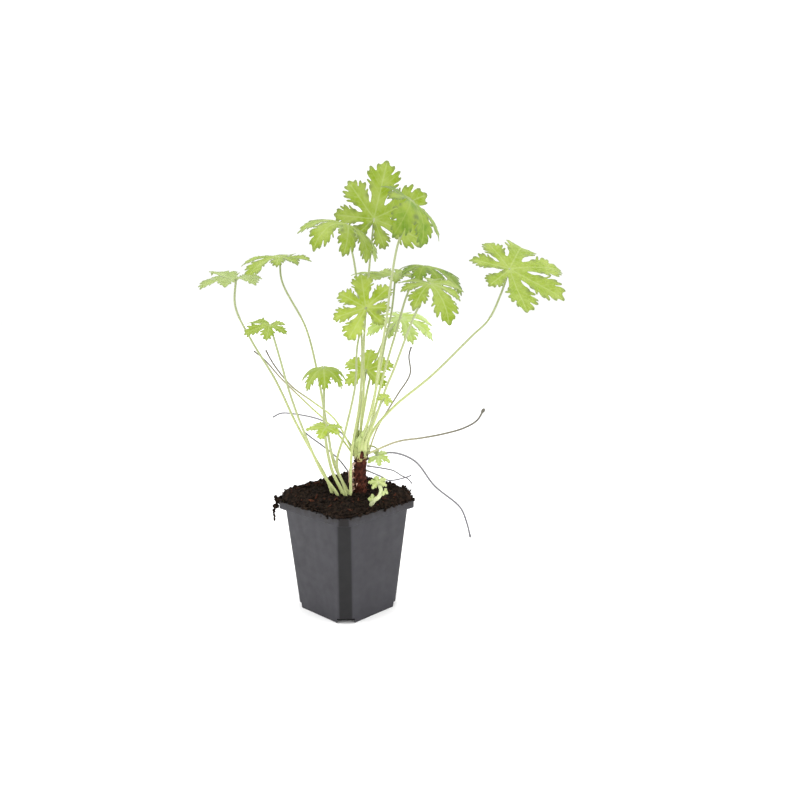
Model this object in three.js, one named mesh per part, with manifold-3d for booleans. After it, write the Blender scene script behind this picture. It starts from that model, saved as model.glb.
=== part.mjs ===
// A hardy geranium in a square plastic nursery pot: one solid for the pot, one for the soil,
// one for the rhizome, and one for each leaf on its stalk and each old stalk.
// Millimetres, +Z up. The origin is the centre of the pot's underside.

import * as THREE from 'three';
import { mergeVertices } from 'three/addons/utils/BufferGeometryUtils.js';
import Module from 'manifold-3d';

const wasm = await Module();
wasm.setup();

// ---------------------------------------------------------------- driving dimensions

const RIM_SIDE = 90; // outside width over the rolled rim
const POT_HEIGHT = 97;
const BODY_TOP_SIDE = 85.3; // the tapered body just below the rim
const BODY_BASE_SIDE = 67.8;
const CORNER_CUT_TOP = 8.4; // leg of the cut across each upright corner
const CORNER_CUT_BASE = 8;
const CORNER_CUT_RIM = 6.2;
const RIM_SKIRT = 6.4; // height of the turned-down lip
const RIM_BEVEL = 0.8;
const WALL = 1.1;
const FLOOR = 1.6;
const FOOT_NOTCH_HEIGHT = 4.6; // drainage notch under each corner
const FOOT_NOTCH_DEPTH = 8; // how far the notch runs in from the corner's face
const FOOT_NOTCH_SPREAD = 1.8; // how far it reaches into the sides next to that face
const DRAIN_RADIUS = 2.9;
const DRAIN_REACH = 19;
const CLEARANCE = 0.3; // between pieces that touch

const SOIL_EDGE = 4; // how far the soil stands above the rim along the edge
const SOIL_CROWN = 3; // how much more it heaps up in the middle
const SOIL_SLOPE = 0.045; // rise towards the back of the plant
const SOIL_CRUMB = 1.5; // height of the loose crumbs on it
const SOIL_SECTORS = 36;
const SOIL_TOP_RINGS = 7;
const SOIL_LUMPS = 24;
const SOIL_LIP = 44.2; // half the width of the soil lying on the rim

const PLANT_TURN = THREE.MathUtils.degToRad(-46.5); // the plant's front looks over a pot corner
const BLADE_THICKNESS = 0.7;
const STALK_SIDES = 5;
const STALK_STEP = 22; // length of one straight stretch of a stalk
const STALK_TAPER = 0.7; // a leaf stalk's radius at the blade, as a share of that at its root
const HUB_SHARE = 1.35; // radius of the knot where the veins meet, as a share of the stalk's
const ROOT_CLEARANCE = 0.7; // round a stalk in its hole in the soil

const CROWN = new THREE.Vector3(13, 0, 141); // top of the rhizome, in the plant's own frame
const RHIZOME_RADIUS = 5.6;

// ---------------------------------------------------------------- colours

const POT_GREY = 0x58585b;
const SOIL_BROWN = 0x1f1915;
const RHIZOME_BROWN = 0x4e2a1c;
const LEAF_GREEN = 0x9dbf3f;
const LEAF_SHADE = 0x6c9434;
const LEAF_PALE = 0xb7d56b;
const STALK_BROWN = 0x857a5c;

// ---------------------------------------------------------------- small helpers

function vector(point) {
  return new THREE.Vector3(...point);
}

// A repeatable stream of numbers from 0 to 1.
function randomStream(seed) {
  let state = seed;
  return () => {
    state = (state + 0x6d2b79f5) | 0;
    let t = Math.imul(state ^ (state >>> 15), 1 | state);
    t = (t + Math.imul(t ^ (t >>> 7), 61 | t)) ^ t;
    return ((t ^ (t >>> 14)) >>> 0) / 4294967296;
  };
}

function toManifold(geometry) {
  const bare = geometry.clone();
  bare.deleteAttribute('normal');
  bare.deleteAttribute('uv');
  const merged = mergeVertices(bare, 1e-4);
  return new wasm.Manifold(new wasm.Mesh({
    numProp: 3,
    vertProperties: new Float32Array(merged.attributes.position.array),
    triVerts: new Uint32Array(merged.index.array),
  }));
}

function toGeometry(solid) {
  const mesh = solid.getMesh();
  const geometry = new THREE.BufferGeometry();
  geometry.setAttribute('position', new THREE.BufferAttribute(mesh.vertProperties, 3));
  geometry.setIndex(new THREE.BufferAttribute(mesh.triVerts, 1));
  geometry.computeVertexNormals();
  return geometry;
}

function joinAll(solids) {
  return solids.reduce((whole, piece) => whole.add(piece));
}

function namedMesh(name, geometry, colour, roughness) {
  const material = new THREE.MeshStandardMaterial({ color: colour, roughness, metalness: 0 });
  const mesh = new THREE.Mesh(geometry, material);
  mesh.name = name;
  return mesh;
}

// ---------------------------------------------------------------- the pot

// Corner points of a square with cut corners, anticlockwise from the +X side.
function cutSquare(half, cut) {
  const quarter = [[half, cut - half], [half, half - cut]];
  const points = [];
  for (let turn = 0; turn < 4; turn += 1) {
    const angle = (turn * Math.PI) / 2;
    for (const [x, y] of quarter) {
      points.push([x * Math.cos(angle) - y * Math.sin(angle), x * Math.sin(angle) + y * Math.cos(angle)]);
    }
  }
  return points;
}

// A closed solid through level rings of points, the first and last closed by fans.
function loft(rings) {
  const count = rings[0].length;
  const positions = rings.flat(2);
  const index = [];
  for (let level = 0; level < rings.length - 1; level += 1) {
    for (let i = 0; i < count; i += 1) {
      const j = (i + 1) % count;
      const low = level * count;
      const high = low + count;
      index.push(low + i, low + j, high + j, low + i, high + j, high + i);
    }
  }
  const last = (rings.length - 1) * count;
  for (let i = 1; i < count - 1; i += 1) {
    index.push(0, i + 1, i, last, last + i, last + i + 1);
  }
  const geometry = new THREE.BufferGeometry();
  geometry.setAttribute('position', new THREE.Float32BufferAttribute(positions, 3));
  geometry.setIndex(index);
  return geometry;
}

// The pot's section at a height: half its width and the leg of its corner cut.
function bodySection(z, inset) {
  const rise = z / POT_HEIGHT;
  const half = THREE.MathUtils.lerp(BODY_BASE_SIDE, BODY_TOP_SIDE, rise) / 2 - inset;
  const cut = THREE.MathUtils.lerp(CORNER_CUT_BASE, CORNER_CUT_TOP, rise) - inset * (2 - Math.SQRT2);
  return [half, cut];
}

function levelRing(z, half, cut) {
  return cutSquare(half, cut).map(([x, y]) => [x, y, z]);
}

function bodyRing(z, inset) {
  return levelRing(z, ...bodySection(z, inset));
}

// One block for each corner, standing under it from below the floor up to a height.
function footNotches(grow) {
  const [half, cut] = bodySection(0, 0);
  const faceDistance = (half * 2 - cut) / Math.SQRT2;
  const width = cut * Math.SQRT2 + 2 * (FOOT_NOTCH_SPREAD + grow);
  const depth = 2 * (FOOT_NOTCH_DEPTH + grow);
  const height = 2 * (FOOT_NOTCH_HEIGHT + grow);
  const blocks = [];
  for (let corner = 0; corner < 4; corner += 1) {
    const block = new THREE.BoxGeometry(depth, width, height);
    block.translate(faceDistance, 0, 0);
    block.rotateZ(Math.PI / 4 + (corner * Math.PI) / 2);
    blocks.push(toManifold(block));
  }
  return joinAll(blocks);
}

function drainHoles() {
  const holes = [];
  for (let i = 0; i < 4; i += 1) {
    const hole = new THREE.CylinderGeometry(DRAIN_RADIUS, DRAIN_RADIUS, 4 * FLOOR, 12);
    hole.rotateX(Math.PI / 2);
    hole.translate(DRAIN_REACH, 0, 0);
    hole.rotateZ((i * Math.PI) / 2);
    holes.push(toManifold(hole));
  }
  return joinAll(holes);
}

function potHollow(inset, lowest, highest) {
  const block = toManifold(loft([bodyRing(lowest, inset), bodyRing(highest, inset)]));
  return block.subtract(footNotches(inset));
}

function potGeometry() {
  const rimHalf = RIM_SIDE / 2;
  const lipInside = rimHalf - WALL;
  const lipFoot = POT_HEIGHT - RIM_SKIRT;
  const underRim = POT_HEIGHT - WALL;
  const lipCut = CORNER_CUT_RIM - WALL * (2 - Math.SQRT2);
  const outside = toManifold(loft([
    bodyRing(0, 0),
    bodyRing(underRim, 0),
    levelRing(underRim, lipInside, lipCut),
    levelRing(lipFoot, lipInside, lipCut),
    levelRing(lipFoot, rimHalf, CORNER_CUT_RIM),
    levelRing(POT_HEIGHT - RIM_BEVEL, rimHalf, CORNER_CUT_RIM),
    levelRing(POT_HEIGHT, rimHalf - RIM_BEVEL, CORNER_CUT_RIM),
  ]));
  const hollow = potHollow(WALL, FLOOR, 2 * POT_HEIGHT);
  return toGeometry(outside.subtract(footNotches(0)).subtract(hollow).subtract(drainHoles()));
}

// ---------------------------------------------------------------- leaf blades

// Half of one lobe of a blade, from the gap beside it to its tip. Each point is a share of
// the lobe's length and a share of the half sector that the lobe fills.
const LOBE_LOWER_EDGE = [[0.45, 0.8], [0.67, 0.97], [0.61, 0.66]];
const LOBE_SIDE_TIP = [0.81, 0.82];
const LOBE_UPPER_EDGE = [[0.75, 0.36], [0.93, 0.4], [0.9, 0.2]];
const LOBE_MID_VEIN = [[0.34, 0], [0.7, 0]];
const LOBE_SIDE_VEIN = [[0.58, 0.42]];
const TOOTH_RISE = 0.05; // least distance from the gap beside a lobe to its first tooth

// Smaller blades have plain three-toothed lobes.
const SMALL_LOWER_EDGE = [[0.48, 0.78], [0.7, 0.93], [0.63, 0.62]];
const SMALL_UPPER_EDGE = [[0.74, 0.33], [0.94, 0.3]];
const SMALL_MID_VEIN = [[0.4, 0]];

// The smallest blades have lobes with one notch on each side.
const TINY_LOWER_EDGE = [[0.6, 0.8]];
const TINY_UPPER_EDGE = [[0.76, 0.3]];

const LOBE_LENGTHS = [0.8, 0.9, 0.97, 1, 0.97, 0.9, 0.8]; // from one basal lobe round to the other
const LOBE_STEP = { 3: 84, 5: 62, 7: 49 }; // degrees from one lobe to the next
const LARGE_BLADE = 30; // radius from which the lobes have all their teeth
const TINY_BLADE = 12;
const LENGTH_CHANGE = 0.1; // from one lobe to the next, as a share of its length
const ANGLE_CHANGE = 0.07; // and as a share of a lobe's sector

function lobeOutline(radius) {
  if (radius >= LARGE_BLADE) {
    return {
      lowerEdge: LOBE_LOWER_EDGE,
      upperEdge: LOBE_UPPER_EDGE,
      midVein: LOBE_MID_VEIN,
      sideVein: LOBE_SIDE_VEIN,
    };
  }
  const tiny = radius <= TINY_BLADE;
  return {
    lowerEdge: tiny ? TINY_LOWER_EDGE : SMALL_LOWER_EDGE,
    upperEdge: tiny ? TINY_UPPER_EDGE : SMALL_UPPER_EDGE,
    midVein: SMALL_MID_VEIN,
    sideVein: [],
  };
}

// Flat regions of a blade between its veins and its edge, as lists of vertex numbers, with
// each vertex in polar form: distance from the stalk, angle, and offset from its mid vein.
function bladeLayout(leaf, random) {
  const side = (leaf.lobes - 1) / 2;
  const step = THREE.MathUtils.degToRad(LOBE_STEP[leaf.lobes]);
  const { lowerEdge, upperEdge, midVein, sideVein } = lobeOutline(leaf.radius);
  const vertices = [];
  const regions = [];
  const edge = [];
  const place = (length, angle, [along, across], sign) => {
    const lean = sign * across * step * 0.5;
    const distance = along * length * leaf.radius;
    vertices.push({ distance, angle: angle + lean, offset: distance * Math.abs(Math.sin(lean)) });
    return vertices.length - 1;
  };
  const centre = place(0, 0, [0, 0], 1);
  let gapBefore = null;
  for (let k = -side; k <= side; k += 1) {
    const length = (leaf.lengths ?? LOBE_LENGTHS)[k + 3] * (1 + LENGTH_CHANGE * (random() - 0.5));
    const angle = step * (k + ANGLE_CHANGE * (random() - 0.5));
    const put = (point, sign) => place(length, angle, point, sign);
    const tip = put([1, 0], 1);
    const middle = midVein.map((point) => put(point, 1));
    const halves = [-1, 1].map((sign) => {
      const gap = sign < 0 && gapBefore !== null ? gapBefore : put([leaf.gap, 1], sign);
      const lower = lowerEdge.map(([along, across]) => (
        put([Math.max(along, leaf.gap + TOOTH_RISE), across], sign)
      ));
      const sideTip = put(LOBE_SIDE_TIP, sign);
      const upper = upperEdge.map((point) => put(point, sign));
      const vein = sideVein.map((point) => put(point, sign));
      const inner = [centre, middle[0], ...vein, sideTip, ...[...lower].reverse(), gap];
      const outer = [...middle, tip, ...[...upper].reverse(), sideTip, ...[...vein].reverse()];
      regions.push({ sign, loop: inner }, { sign, loop: outer });
      return [gap, ...lower, sideTip, ...upper];
    });
    edge.push(...halves[0], tip, ...[...halves[1]].reverse().slice(0, k < side ? -1 : undefined));
    gapBefore = halves[1][0];
  }
  edge.push(centre);
  return { vertices, regions, edge };
}

// Bends the flat blade over the stalk's end like an umbrella, more to one side than the
// other, and folds each lobe a little up from its mid vein.
function bladeSurface(leaf, { distance, angle, offset }) {
  const cup = leaf.cup + leaf.lean * Math.cos(angle - leaf.leanTo);
  const bend = (cup * distance) / leaf.radius;
  const reach = Math.abs(bend) < 1e-6 ? distance : (distance * Math.sin(bend)) / bend;
  const drop = Math.abs(bend) < 1e-6 ? 0 : (distance * (1 - Math.cos(bend))) / bend;
  const wave = leaf.wave * distance * (distance / leaf.radius) * Math.sin(3 * angle + leaf.radius);
  return new THREE.Vector3(
    reach * Math.cos(angle),
    reach * Math.sin(angle),
    -drop + leaf.fold * offset + wave,
  );
}

function regionTriangles(layout, { sign, loop }) {
  const outline = loop.map((i) => {
    const { distance, angle } = layout.vertices[i];
    return new THREE.Vector2(distance * Math.cos(angle), distance * Math.sin(angle));
  });
  const reversed = THREE.ShapeUtils.area(outline) < 0;
  const ordered = reversed ? [...loop].reverse() : loop;
  const points = reversed ? [...outline].reverse() : outline;
  return THREE.ShapeUtils.triangulateShape(points, []).map((face) => face.map((i) => ordered[i]));
}

function averageNormals(points, triangles) {
  const normals = points.map(() => new THREE.Vector3());
  for (const [a, b, c] of triangles) {
    const across = points[b].clone().sub(points[a]);
    const normal = across.cross(points[c].clone().sub(points[a]));
    for (const i of [a, b, c]) {
      normals[i].add(normal);
    }
  }
  return normals.map((normal) => normal.normalize());
}

// The blade as a thin solid whose two faces have the same triangles.
function bladeGeometry(leaf, random) {
  const layout = bladeLayout(leaf, random);
  const middle = layout.vertices.map((vertex) => bladeSurface(leaf, vertex));
  const triangles = layout.regions.flatMap((region) => regionTriangles(layout, region));
  const normals = averageNormals(middle, triangles);
  const half = BLADE_THICKNESS / 2;
  const top = middle.map((point, i) => point.clone().addScaledVector(normals[i], half));
  const under = middle.map((point, i) => point.clone().addScaledVector(normals[i], -half));
  const count = middle.length;
  const index = [];
  for (const [a, b, c] of triangles) {
    index.push(a, b, c, count + a, count + c, count + b);
  }
  layout.edge.forEach((a, i) => {
    const b = layout.edge[(i + 1) % layout.edge.length];
    index.push(a, count + b, b, a, count + a, count + b);
  });
  const geometry = new THREE.BufferGeometry();
  const positions = [...top, ...under].flatMap((point) => point.toArray());
  geometry.setAttribute('position', new THREE.Float32BufferAttribute(positions, 3));
  geometry.setIndex(index);
  return geometry;
}

// Turns a blade so that its upper face looks along facing and its middle lobe along heading.
function bladeFrame(leaf) {
  const up = vector(leaf.facing).normalize();
  const along = vector(leaf.heading);
  along.addScaledVector(up, -along.dot(up)).normalize();
  const across = up.clone().cross(along);
  return new THREE.Matrix4().makeBasis(along, across, up).setPosition(vector(leaf.route.at(-1)));
}

// ---------------------------------------------------------------- stalks

// A round stalk along a smooth route, thinner towards its far end.
function stalkGeometry(route, rootRadius, tipRadius) {
  const path = new THREE.CatmullRomCurve3(route.map(vector), false, 'centripetal');
  const steps = Math.max(3, Math.round(path.getLength() / STALK_STEP));
  const section = new THREE.Shape();
  for (let i = 0; i < STALK_SIDES; i += 1) {
    const angle = (i * 2 * Math.PI) / STALK_SIDES;
    section[i ? 'lineTo' : 'moveTo'](rootRadius * Math.cos(angle), rootRadius * Math.sin(angle));
  }
  const geometry = new THREE.ExtrudeGeometry(section, {
    steps,
    bevelEnabled: false,
    extrudePath: path,
  });
  const stations = path.getSpacedPoints(steps);
  const corners = geometry.attributes.position;
  const corner = new THREE.Vector3();
  for (let i = 0; i < corners.count; i += 1) {
    corner.fromBufferAttribute(corners, i);
    let nearest = 0;
    stations.forEach((station, k) => {
      if (corner.distanceTo(station) < corner.distanceTo(stations[nearest])) {
        nearest = k;
      }
    });
    const share = THREE.MathUtils.lerp(1, tipRadius / rootRadius, nearest / steps);
    corner.sub(stations[nearest]).multiplyScalar(share).add(stations[nearest]);
    corners.setXYZ(i, ...corner);
  }
  return geometry;
}

function hubGeometry(place, radius) {
  return new THREE.IcosahedronGeometry(radius, 0).translate(...place);
}

// ---------------------------------------------------------------- the leaves

const LEAF_DEFAULTS = {
  lobes: 7,
  cup: 0.5,
  lean: 0,
  leanTo: 0,
  gap: 0.26, // distance from the stalk to the gap between two lobes, as a share of their length
  fold: 0.16,
  wave: 0.06,
  stalk: 1.25,
};

// Each route runs from the stalk's root to the blade, in the plant's own frame: +X to the
// right of its front, +Y to its back.
const LEAVES = [
  {
    name: 'leaf_summit',
    route: [
      [12, 1.8, 141.5], [12.5, 4, 160], [15, 7, 190], [15, 14, 229], [20, 24, 300],
      [24.1, 30, 342.6],
    ],
    facing: [0.04, -0.96, 0.26],
    heading: [0.24, 0.26, 0.93],
    radius: 53,
    cup: 0.08,
    lean: 0.11,
    leanTo: -1.92,
    lengths: [0.58, 0.94, 1.02, 1.05, 0.83, 0.69, 0.55],
  },
  {
    name: 'leaf_upper_left',
    route: [
      [4, -10, 91.5], [4, -10, 102], [5, -8, 140], [12, -1, 184], [14, 7, 230], [11, 14, 270],
      [8, 10, 302], [4, -8, 325], [3, -20, 334],
    ],
    facing: [0.32, -0.02, 0.95],
    heading: [-0.94, -0.15, 0.32],
    radius: 49,
    cup: 1.2,
    lean: 0.8,
    leanTo: 1.73,
    lengths: [0.93, 0.92, 0.83, 0.81, 0.96, 0.78, 0.81],
  },
  {
    name: 'leaf_upper_right',
    route: [
      [14, -1.8, 141.5], [15, -4, 155], [23, -9, 179], [30, -16, 222], [36, -24, 258],
      [39, -29, 282], [45, -33, 316], [50, -35, 330], [54.9, -36, 351.2],
    ],
    facing: [0.56, -0.12, 0.82],
    heading: [0.8, 0.3, -0.5],
    radius: 46,
    cup: 0.75,
    lean: 0.75,
    leanTo: -1.6,
    lengths: [0.55, 1.05, 0.95, 0.92, 0.62, 0.6, 0.6],
    colour: LEAF_SHADE,
  },
  {
    name: 'leaf_middle',
    route: [
      [2, -4, 91.5], [2, -4, 102], [-8, -6, 129], [0, -8, 161], [9, -11, 201], [11, -12, 234],
      [18.4, -10, 265.8],
    ],
    facing: [-0.04, -0.86, 0.5],
    heading: [-0.15, 0.51, 0.85],
    radius: 38,
    cup: 0.08,
    lean: 0.22,
    leanTo: 0.08,
    lengths: [0.55, 0.55, 0.83, 0.96, 0.81, 0.75, 0.9],
  },
  {
    name: 'leaf_right_shade',
    route: [
      [17.3, 2.5, 141.5], [18.5, 3, 152], [26, 3, 181], [33, 5, 209], [44, 9, 246],
      [55, 11, 281], [68.7, 16, 301.4],
    ],
    facing: [0.15, -0.09, 0.98],
    heading: [-0.25, -0.97, -0.05],
    radius: 38,
    cup: 0.96,
    lean: 0.5,
    leanTo: -0.12,
    lengths: [0.8, 0.64, 0.62, 0.74, 0.81, 1.06, 1.2],
    colour: LEAF_SHADE,
  },
  {
    name: 'leaf_right_front',
    route: [
      [16.2, -3.8, 141.5], [17, -5, 150], [25, -8, 169], [35, -13, 198], [42, -18, 215],
      [58, -29, 258], [71.1, -36, 285.5],
    ],
    facing: [0.08, -0.31, 0.95],
    heading: [0.4, -0.86, -0.32],
    radius: 39,
    cup: 0.66,
    lean: 0.27,
    leanTo: -0.22,
    lengths: [0.8, 0.67, 0.86, 1.18, 0.75, 0.92, 0.8],
  },
  {
    name: 'leaf_back',
    route: [
      [11.7, 4.9, 141.5], [12, 9, 156], [15, 16, 176], [19, 28, 198], [25, 42, 218],
      [35, 60, 240], [48, 78, 254.3],
    ],
    facing: [0.05, -0.45, 0.89],
    heading: [0.95, -0.26, -0.18],
    radius: 36,
    cup: 0.8,
    lengths: [1, 0.74, 0.9, 1.06, 1.2, 0.84, 0.8],
    colour: LEAF_PALE,
  },
  {
    name: 'leaf_heart',
    route: [[8.7, 2.5, 141.5], [9, 5, 156], [13, 14, 184], [17, 21, 210]],
    facing: [-0.1, -0.8, 0.6],
    heading: [0.1, 0.5, 0.8],
    radius: 27,
    lobes: 5,
  },
  {
    name: 'leaf_bud',
    route: [[13, -5, 141.5], [15, -8, 152], [23, -17, 170], [31, -24, 186], [34, -26, 191]],
    facing: [0.2, -0.6, 0.7],
    heading: [0.5, 0.2, 0.8],
    radius: 8,
    lobes: 5,
    gap: 0.5,
    stalk: 0.9,
  },
  {
    name: 'leaf_far_right',
    route: [
      [18, -0.7, 141.5], [19, -1, 150], [26, -2, 163], [43, -4, 182], [74, -6, 208],
      [108, -8, 242], [122, -8, 256], [132, -9, 278], [138.4, -10, 298.1],
    ],
    facing: [0.13, -0.74, 0.66],
    heading: [0.95, 0.29, 0.14],
    radius: 53,
    cup: 0.08,
    lean: 0.52,
    leanTo: 0.85,
    lengths: [0.65, 0.96, 1.02, 1, 1.01, 0.75, 0.66],
  },
  {
    name: 'leaf_far_left',
    route: [
      [-12, -5, 91.5], [-12, -5, 101], [-18, -5, 119], [-27, -5, 136], [-43, -6, 167],
      [-60, -7, 205], [-79, -10, 239], [-91, -12, 267], [-89.8, -12, 290.6],
    ],
    facing: [-0.02, -0.05, 1],
    heading: [-0.98, 0.21, -0.01],
    radius: 36,
    cup: 0.08,
    lean: 0.47,
    leanTo: -0.85,
    lengths: [0.59, 0.92, 0.92, 0.98, 0.7, 1.2, 0.8],
  },
  {
    name: 'leaf_left_upper',
    route: [
      [1, 0, 91.5], [1, 0, 102], [-11, 0, 129], [-17, 6, 159], [-28, 22, 214], [-38, 32, 248],
      [-60, 43, 289], [-61.6, 45, 310.4],
    ],
    facing: [0.04, -0.13, 0.99],
    heading: [-0.75, -0.66, 0],
    radius: 42,
    cup: 0.42,
    lean: 0.5,
    leanTo: 0.3,
    lengths: [0.6, 0.6, 0.95, 1, 0.6, 0.62, 0.68],
  },
  {
    name: 'leaf_left_lower',
    route: [
      [-7, -9, 91.5], [-7, -9, 102], [-21, -13, 126], [-38, -19, 171], [-46, -25, 199],
      [-52, -29, 225], [-59.1, -31, 252.4],
    ],
    facing: [0.09, -0.44, 0.89],
    heading: [0.01, -0.89, -0.45],
    radius: 25,
    lobes: 5,
    lengths: [0, 0.92, 0.93, 0.76, 0.66, 0.55, 0],
  },
  {
    name: 'leaf_umbrella',
    route: [
      [-2, -8, 91.5], [-2, -8, 102], [-12, -10, 126], [-17, -19, 163], [-16, -28, 200],
      [-16, -30, 217],
    ],
    facing: [0, -0.25, 0.97],
    heading: [0.1, -1, 0],
    radius: 26,
    cup: 1.3,
    gap: 0.55,
    stalk: 1.5,
    lengths: [0.95, 0.95, 0.95, 0.95, 0.95, 0.95, 0.95],
  },
  {
    name: 'leaf_low_left',
    route: [[1, -13, 91.5], [1, -13, 102], [-6, -22, 129], [-11, -33, 152], [-14, -38, 169]],
    facing: [0.05, -0.25, 0.97],
    heading: [-0.2, -1, 0],
    radius: 17,
    lobes: 5,
    cup: 0.25,
    gap: 0.5,
    stalk: 0.9,
  },
  {
    name: 'leaf_low_right',
    route: [
      [15.2, 5.2, 141.9], [19, 7, 144], [24.5, 5.5, 143.5], [27.5, 1, 141], [27.4, -2, 137],
    ],
    facing: [0.05, -0.5, 0.86],
    heading: [0.9, -0.2, -0.25],
    radius: 11.5,
    lobes: 5,
    cup: 0.4,
    gap: 0.45,
    stalk: 0.9,
    colour: LEAF_PALE,
  },
  {
    name: 'leaf_level',
    route: [
      [14.5, 1.8, 141.5], [16, 5, 154], [23.5, 8, 184], [30, 13, 215], [34.5, 22, 238],
      [39.5, 34, 262], [43, 52, 295],
    ],
    facing: [0.01, -0.19, 0.98],
    heading: [-0.99, 0.14, 0.03],
    radius: 38,
    cup: 0.08,
    lengths: [0.55, 0.7, 0.95, 1.05, 0.95, 0.7, 0.55],
  },
];

function leafStalk(leaf) {
  const root = leaf.stalk ?? LEAF_DEFAULTS.stalk;
  return { route: leaf.route, radii: [root, root * STALK_TAPER] };
}

function leafSolid(leaf, random) {
  const blade = bladeGeometry(leaf, random).applyMatrix4(bladeFrame(leaf));
  const { route, radii } = leafStalk(leaf);
  const stalk = stalkGeometry(route, ...radii);
  const hub = hubGeometry(route.at(-1), radii[1] * HUB_SHARE);
  return joinAll([toManifold(blade), toManifold(stalk), toManifold(hub)]);
}

// ---------------------------------------------------------------- old stalks and roots

// Leafless stalks and thin roots, as routes from the root end, with the radius at each end.
const OLD_STALKS = [
  {
    name: 'stalk_right_knob',
    route: [
      [18.6, -2.4, 139], [45, -8, 151], [66, -12, 155], [83, -16, 159], [101, -20, 165],
      [112, -22, 172], [117, -24, 181],
    ],
    radii: [0.8, 0.6],
  },
  {
    name: 'stalk_right_trailing',
    route: [
      [17.8, 3.5, 133], [39, 12, 137], [60, 14, 129], [78, 10, 107], [101, 6, 88],
      [107, 5, 74], [110, 4, 62],
    ],
    radii: [0.7, 0.5],
  },
  {
    name: 'stalk_right_upright',
    route: [[19.3, 1.3, 139], [27, 7, 160], [45, 15, 189], [56, 19, 207], [55, 20, 223], [57, 20, 231]],
    radii: [0.7, 0.5],
  },
  {
    name: 'stalk_left_front',
    route: [
      [7.2, -1.5, 138], [-10, -3, 170], [-28, -4, 185], [-45, -14, 200], [-59, -18, 219],
      [-65, -20, 231],
    ],
    radii: [0.9, 0.6],
  },
  {
    name: 'stalk_left_back',
    route: [[7, 1.6, 136], [-11, 2, 160], [-36, 4, 184], [-59, 12, 205], [-73, 20, 219], [-83, 22, 227]],
    radii: [0.9, 0.6],
  },
  {
    name: 'stalk_left_level',
    route: [[9.2, 4, 138], [-7, 18, 155], [-25, 27, 164], [-50, 36, 168], [-63, 40, 168], [-71, 42, 164]],
    radii: [0.6, 0.5],
  },
  {
    name: 'stalk_left_thin',
    route: [[8, 25, 92], [8, 25, 100], [-7, 24, 126], [-23, 22, 141], [-33, 20, 149], [-39, 20, 154]],
    radii: [0.6, 0.5],
  },
  {
    name: 'root_right_upper',
    route: [[18.3, 2.3, 127], [32, 10, 123], [41, 14, 120], [49, 18, 114], [54, 20, 111], [58, 22, 106]],
    radii: [0.5, 0.4],
  },
  {
    name: 'root_right_lower',
    route: [[17.3, -1.3, 124], [31, 3, 117], [37, 6, 113], [50, 10, 114], [57, 12, 116]],
    radii: [0.5, 0.4],
  },
];

// ---------------------------------------------------------------- the seedling

const SEEDLING_STEM = {
  route: [
    [22.8, -29.8, 91.5], [22.9, -29.9, 101], [25.3, -32.6, 105.5], [29.5, -35, 109.5],
    [31.1, -35.5, 115], [29.5, -35.5, 120],
  ],
  radii: [1.7, 1.2],
};
const SEEDLING_BLADES = [
  {
    route: [[29.9, -35.5, 119], [28.8, -36, 122]],
    facing: [0, -0.6, 0.8],
    heading: [-0.3, 0.8, 0.6],
    radius: 10,
    lobes: 5,
  },
  {
    route: [[30.5, -35.2, 111.5], [33, -36.5, 113.5], [34, -37, 114.5]],
    facing: [0.3, -0.8, 0.5],
    heading: [0.85, -0.1, -0.35],
    radius: 6,
  },
  {
    route: [[25.2, -32.6, 104.8], [24, -34, 107]],
    facing: [-0.3, -0.9, 0.25],
    heading: [-0.15, 0.3, 0.95],
    radius: 6.5,
  },
];

function seedlingSolid() {
  const random = randomStream(77);
  const blades = SEEDLING_BLADES.map((blade) => {
    const leaf = { ...LEAF_DEFAULTS, lobes: 3, stalk: 0.9, ...blade };
    return leafSolid(leaf, random);
  });
  const stem = toManifold(stalkGeometry(SEEDLING_STEM.route, ...SEEDLING_STEM.radii));
  return joinAll([stem, ...blades]);
}

// ---------------------------------------------------------------- the rhizome

const RHIZOME_SIDES = 10;
const RHIZOME_LEVELS = 15;
const SCAR_OUT = 1.06; // radius of a leaf scar, as a share of the rhizome's
const SCAR_IN = 0.86; // and of the neck between two scars
const SCAR_CHANGE = 0.12;
const RHIZOME_SWAY = 1.2;
const AERIAL_ROOT_RADII = [0.7, 0.4];
const RHIZOME_FOOT = 86;
const RHIZOME_HOLE = RHIZOME_RADIUS * 1.36;
const AERIAL_ROOTS = [
  { route: [[9, -2, 131], [3.5, -4, 127], [2.5, -5, 118], [4, -4, 108]] },
  { route: [[9, 1, 127], [4.5, 3, 121], [4, 5, 114], [5.5, 6, 108]] },
  { route: [[11, -4, 124], [8, -8.5, 118], [8.5, -9, 113], [9, -7, 107]] },
];

// A knobbly upright stem: rings of old leaf scars, each a little out of line, with a few
// thin roots in the air beside it.
function rhizomeSolid() {
  const random = randomStream(5);
  const rings = [];
  const height = CROWN.z - RHIZOME_FOOT;
  for (let level = 0; level <= RHIZOME_LEVELS; level += 1) {
    const share = level / RHIZOME_LEVELS;
    const scar = level % 2 ? SCAR_OUT : SCAR_IN;
    const sway = Math.sin(share * Math.PI) * RHIZOME_SWAY;
    const ring = [];
    for (let i = 0; i < RHIZOME_SIDES; i += 1) {
      const angle = ((i + 0.5 * (level % 2)) * 2 * Math.PI) / RHIZOME_SIDES;
      const radius = RHIZOME_RADIUS * scar * (1 + SCAR_CHANGE * (random() - 0.5));
      ring.push([
        CROWN.x - sway + radius * Math.cos(angle),
        CROWN.y + radius * Math.sin(angle),
        RHIZOME_FOOT + height * share,
      ]);
    }
    rings.push(ring);
  }
  const roots = AERIAL_ROOTS.map(({ route }) => toManifold(stalkGeometry(route, ...AERIAL_ROOT_RADII)));
  return joinAll([toManifold(loft(rings)), ...roots]);
}

// ---------------------------------------------------------------- the soil

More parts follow.
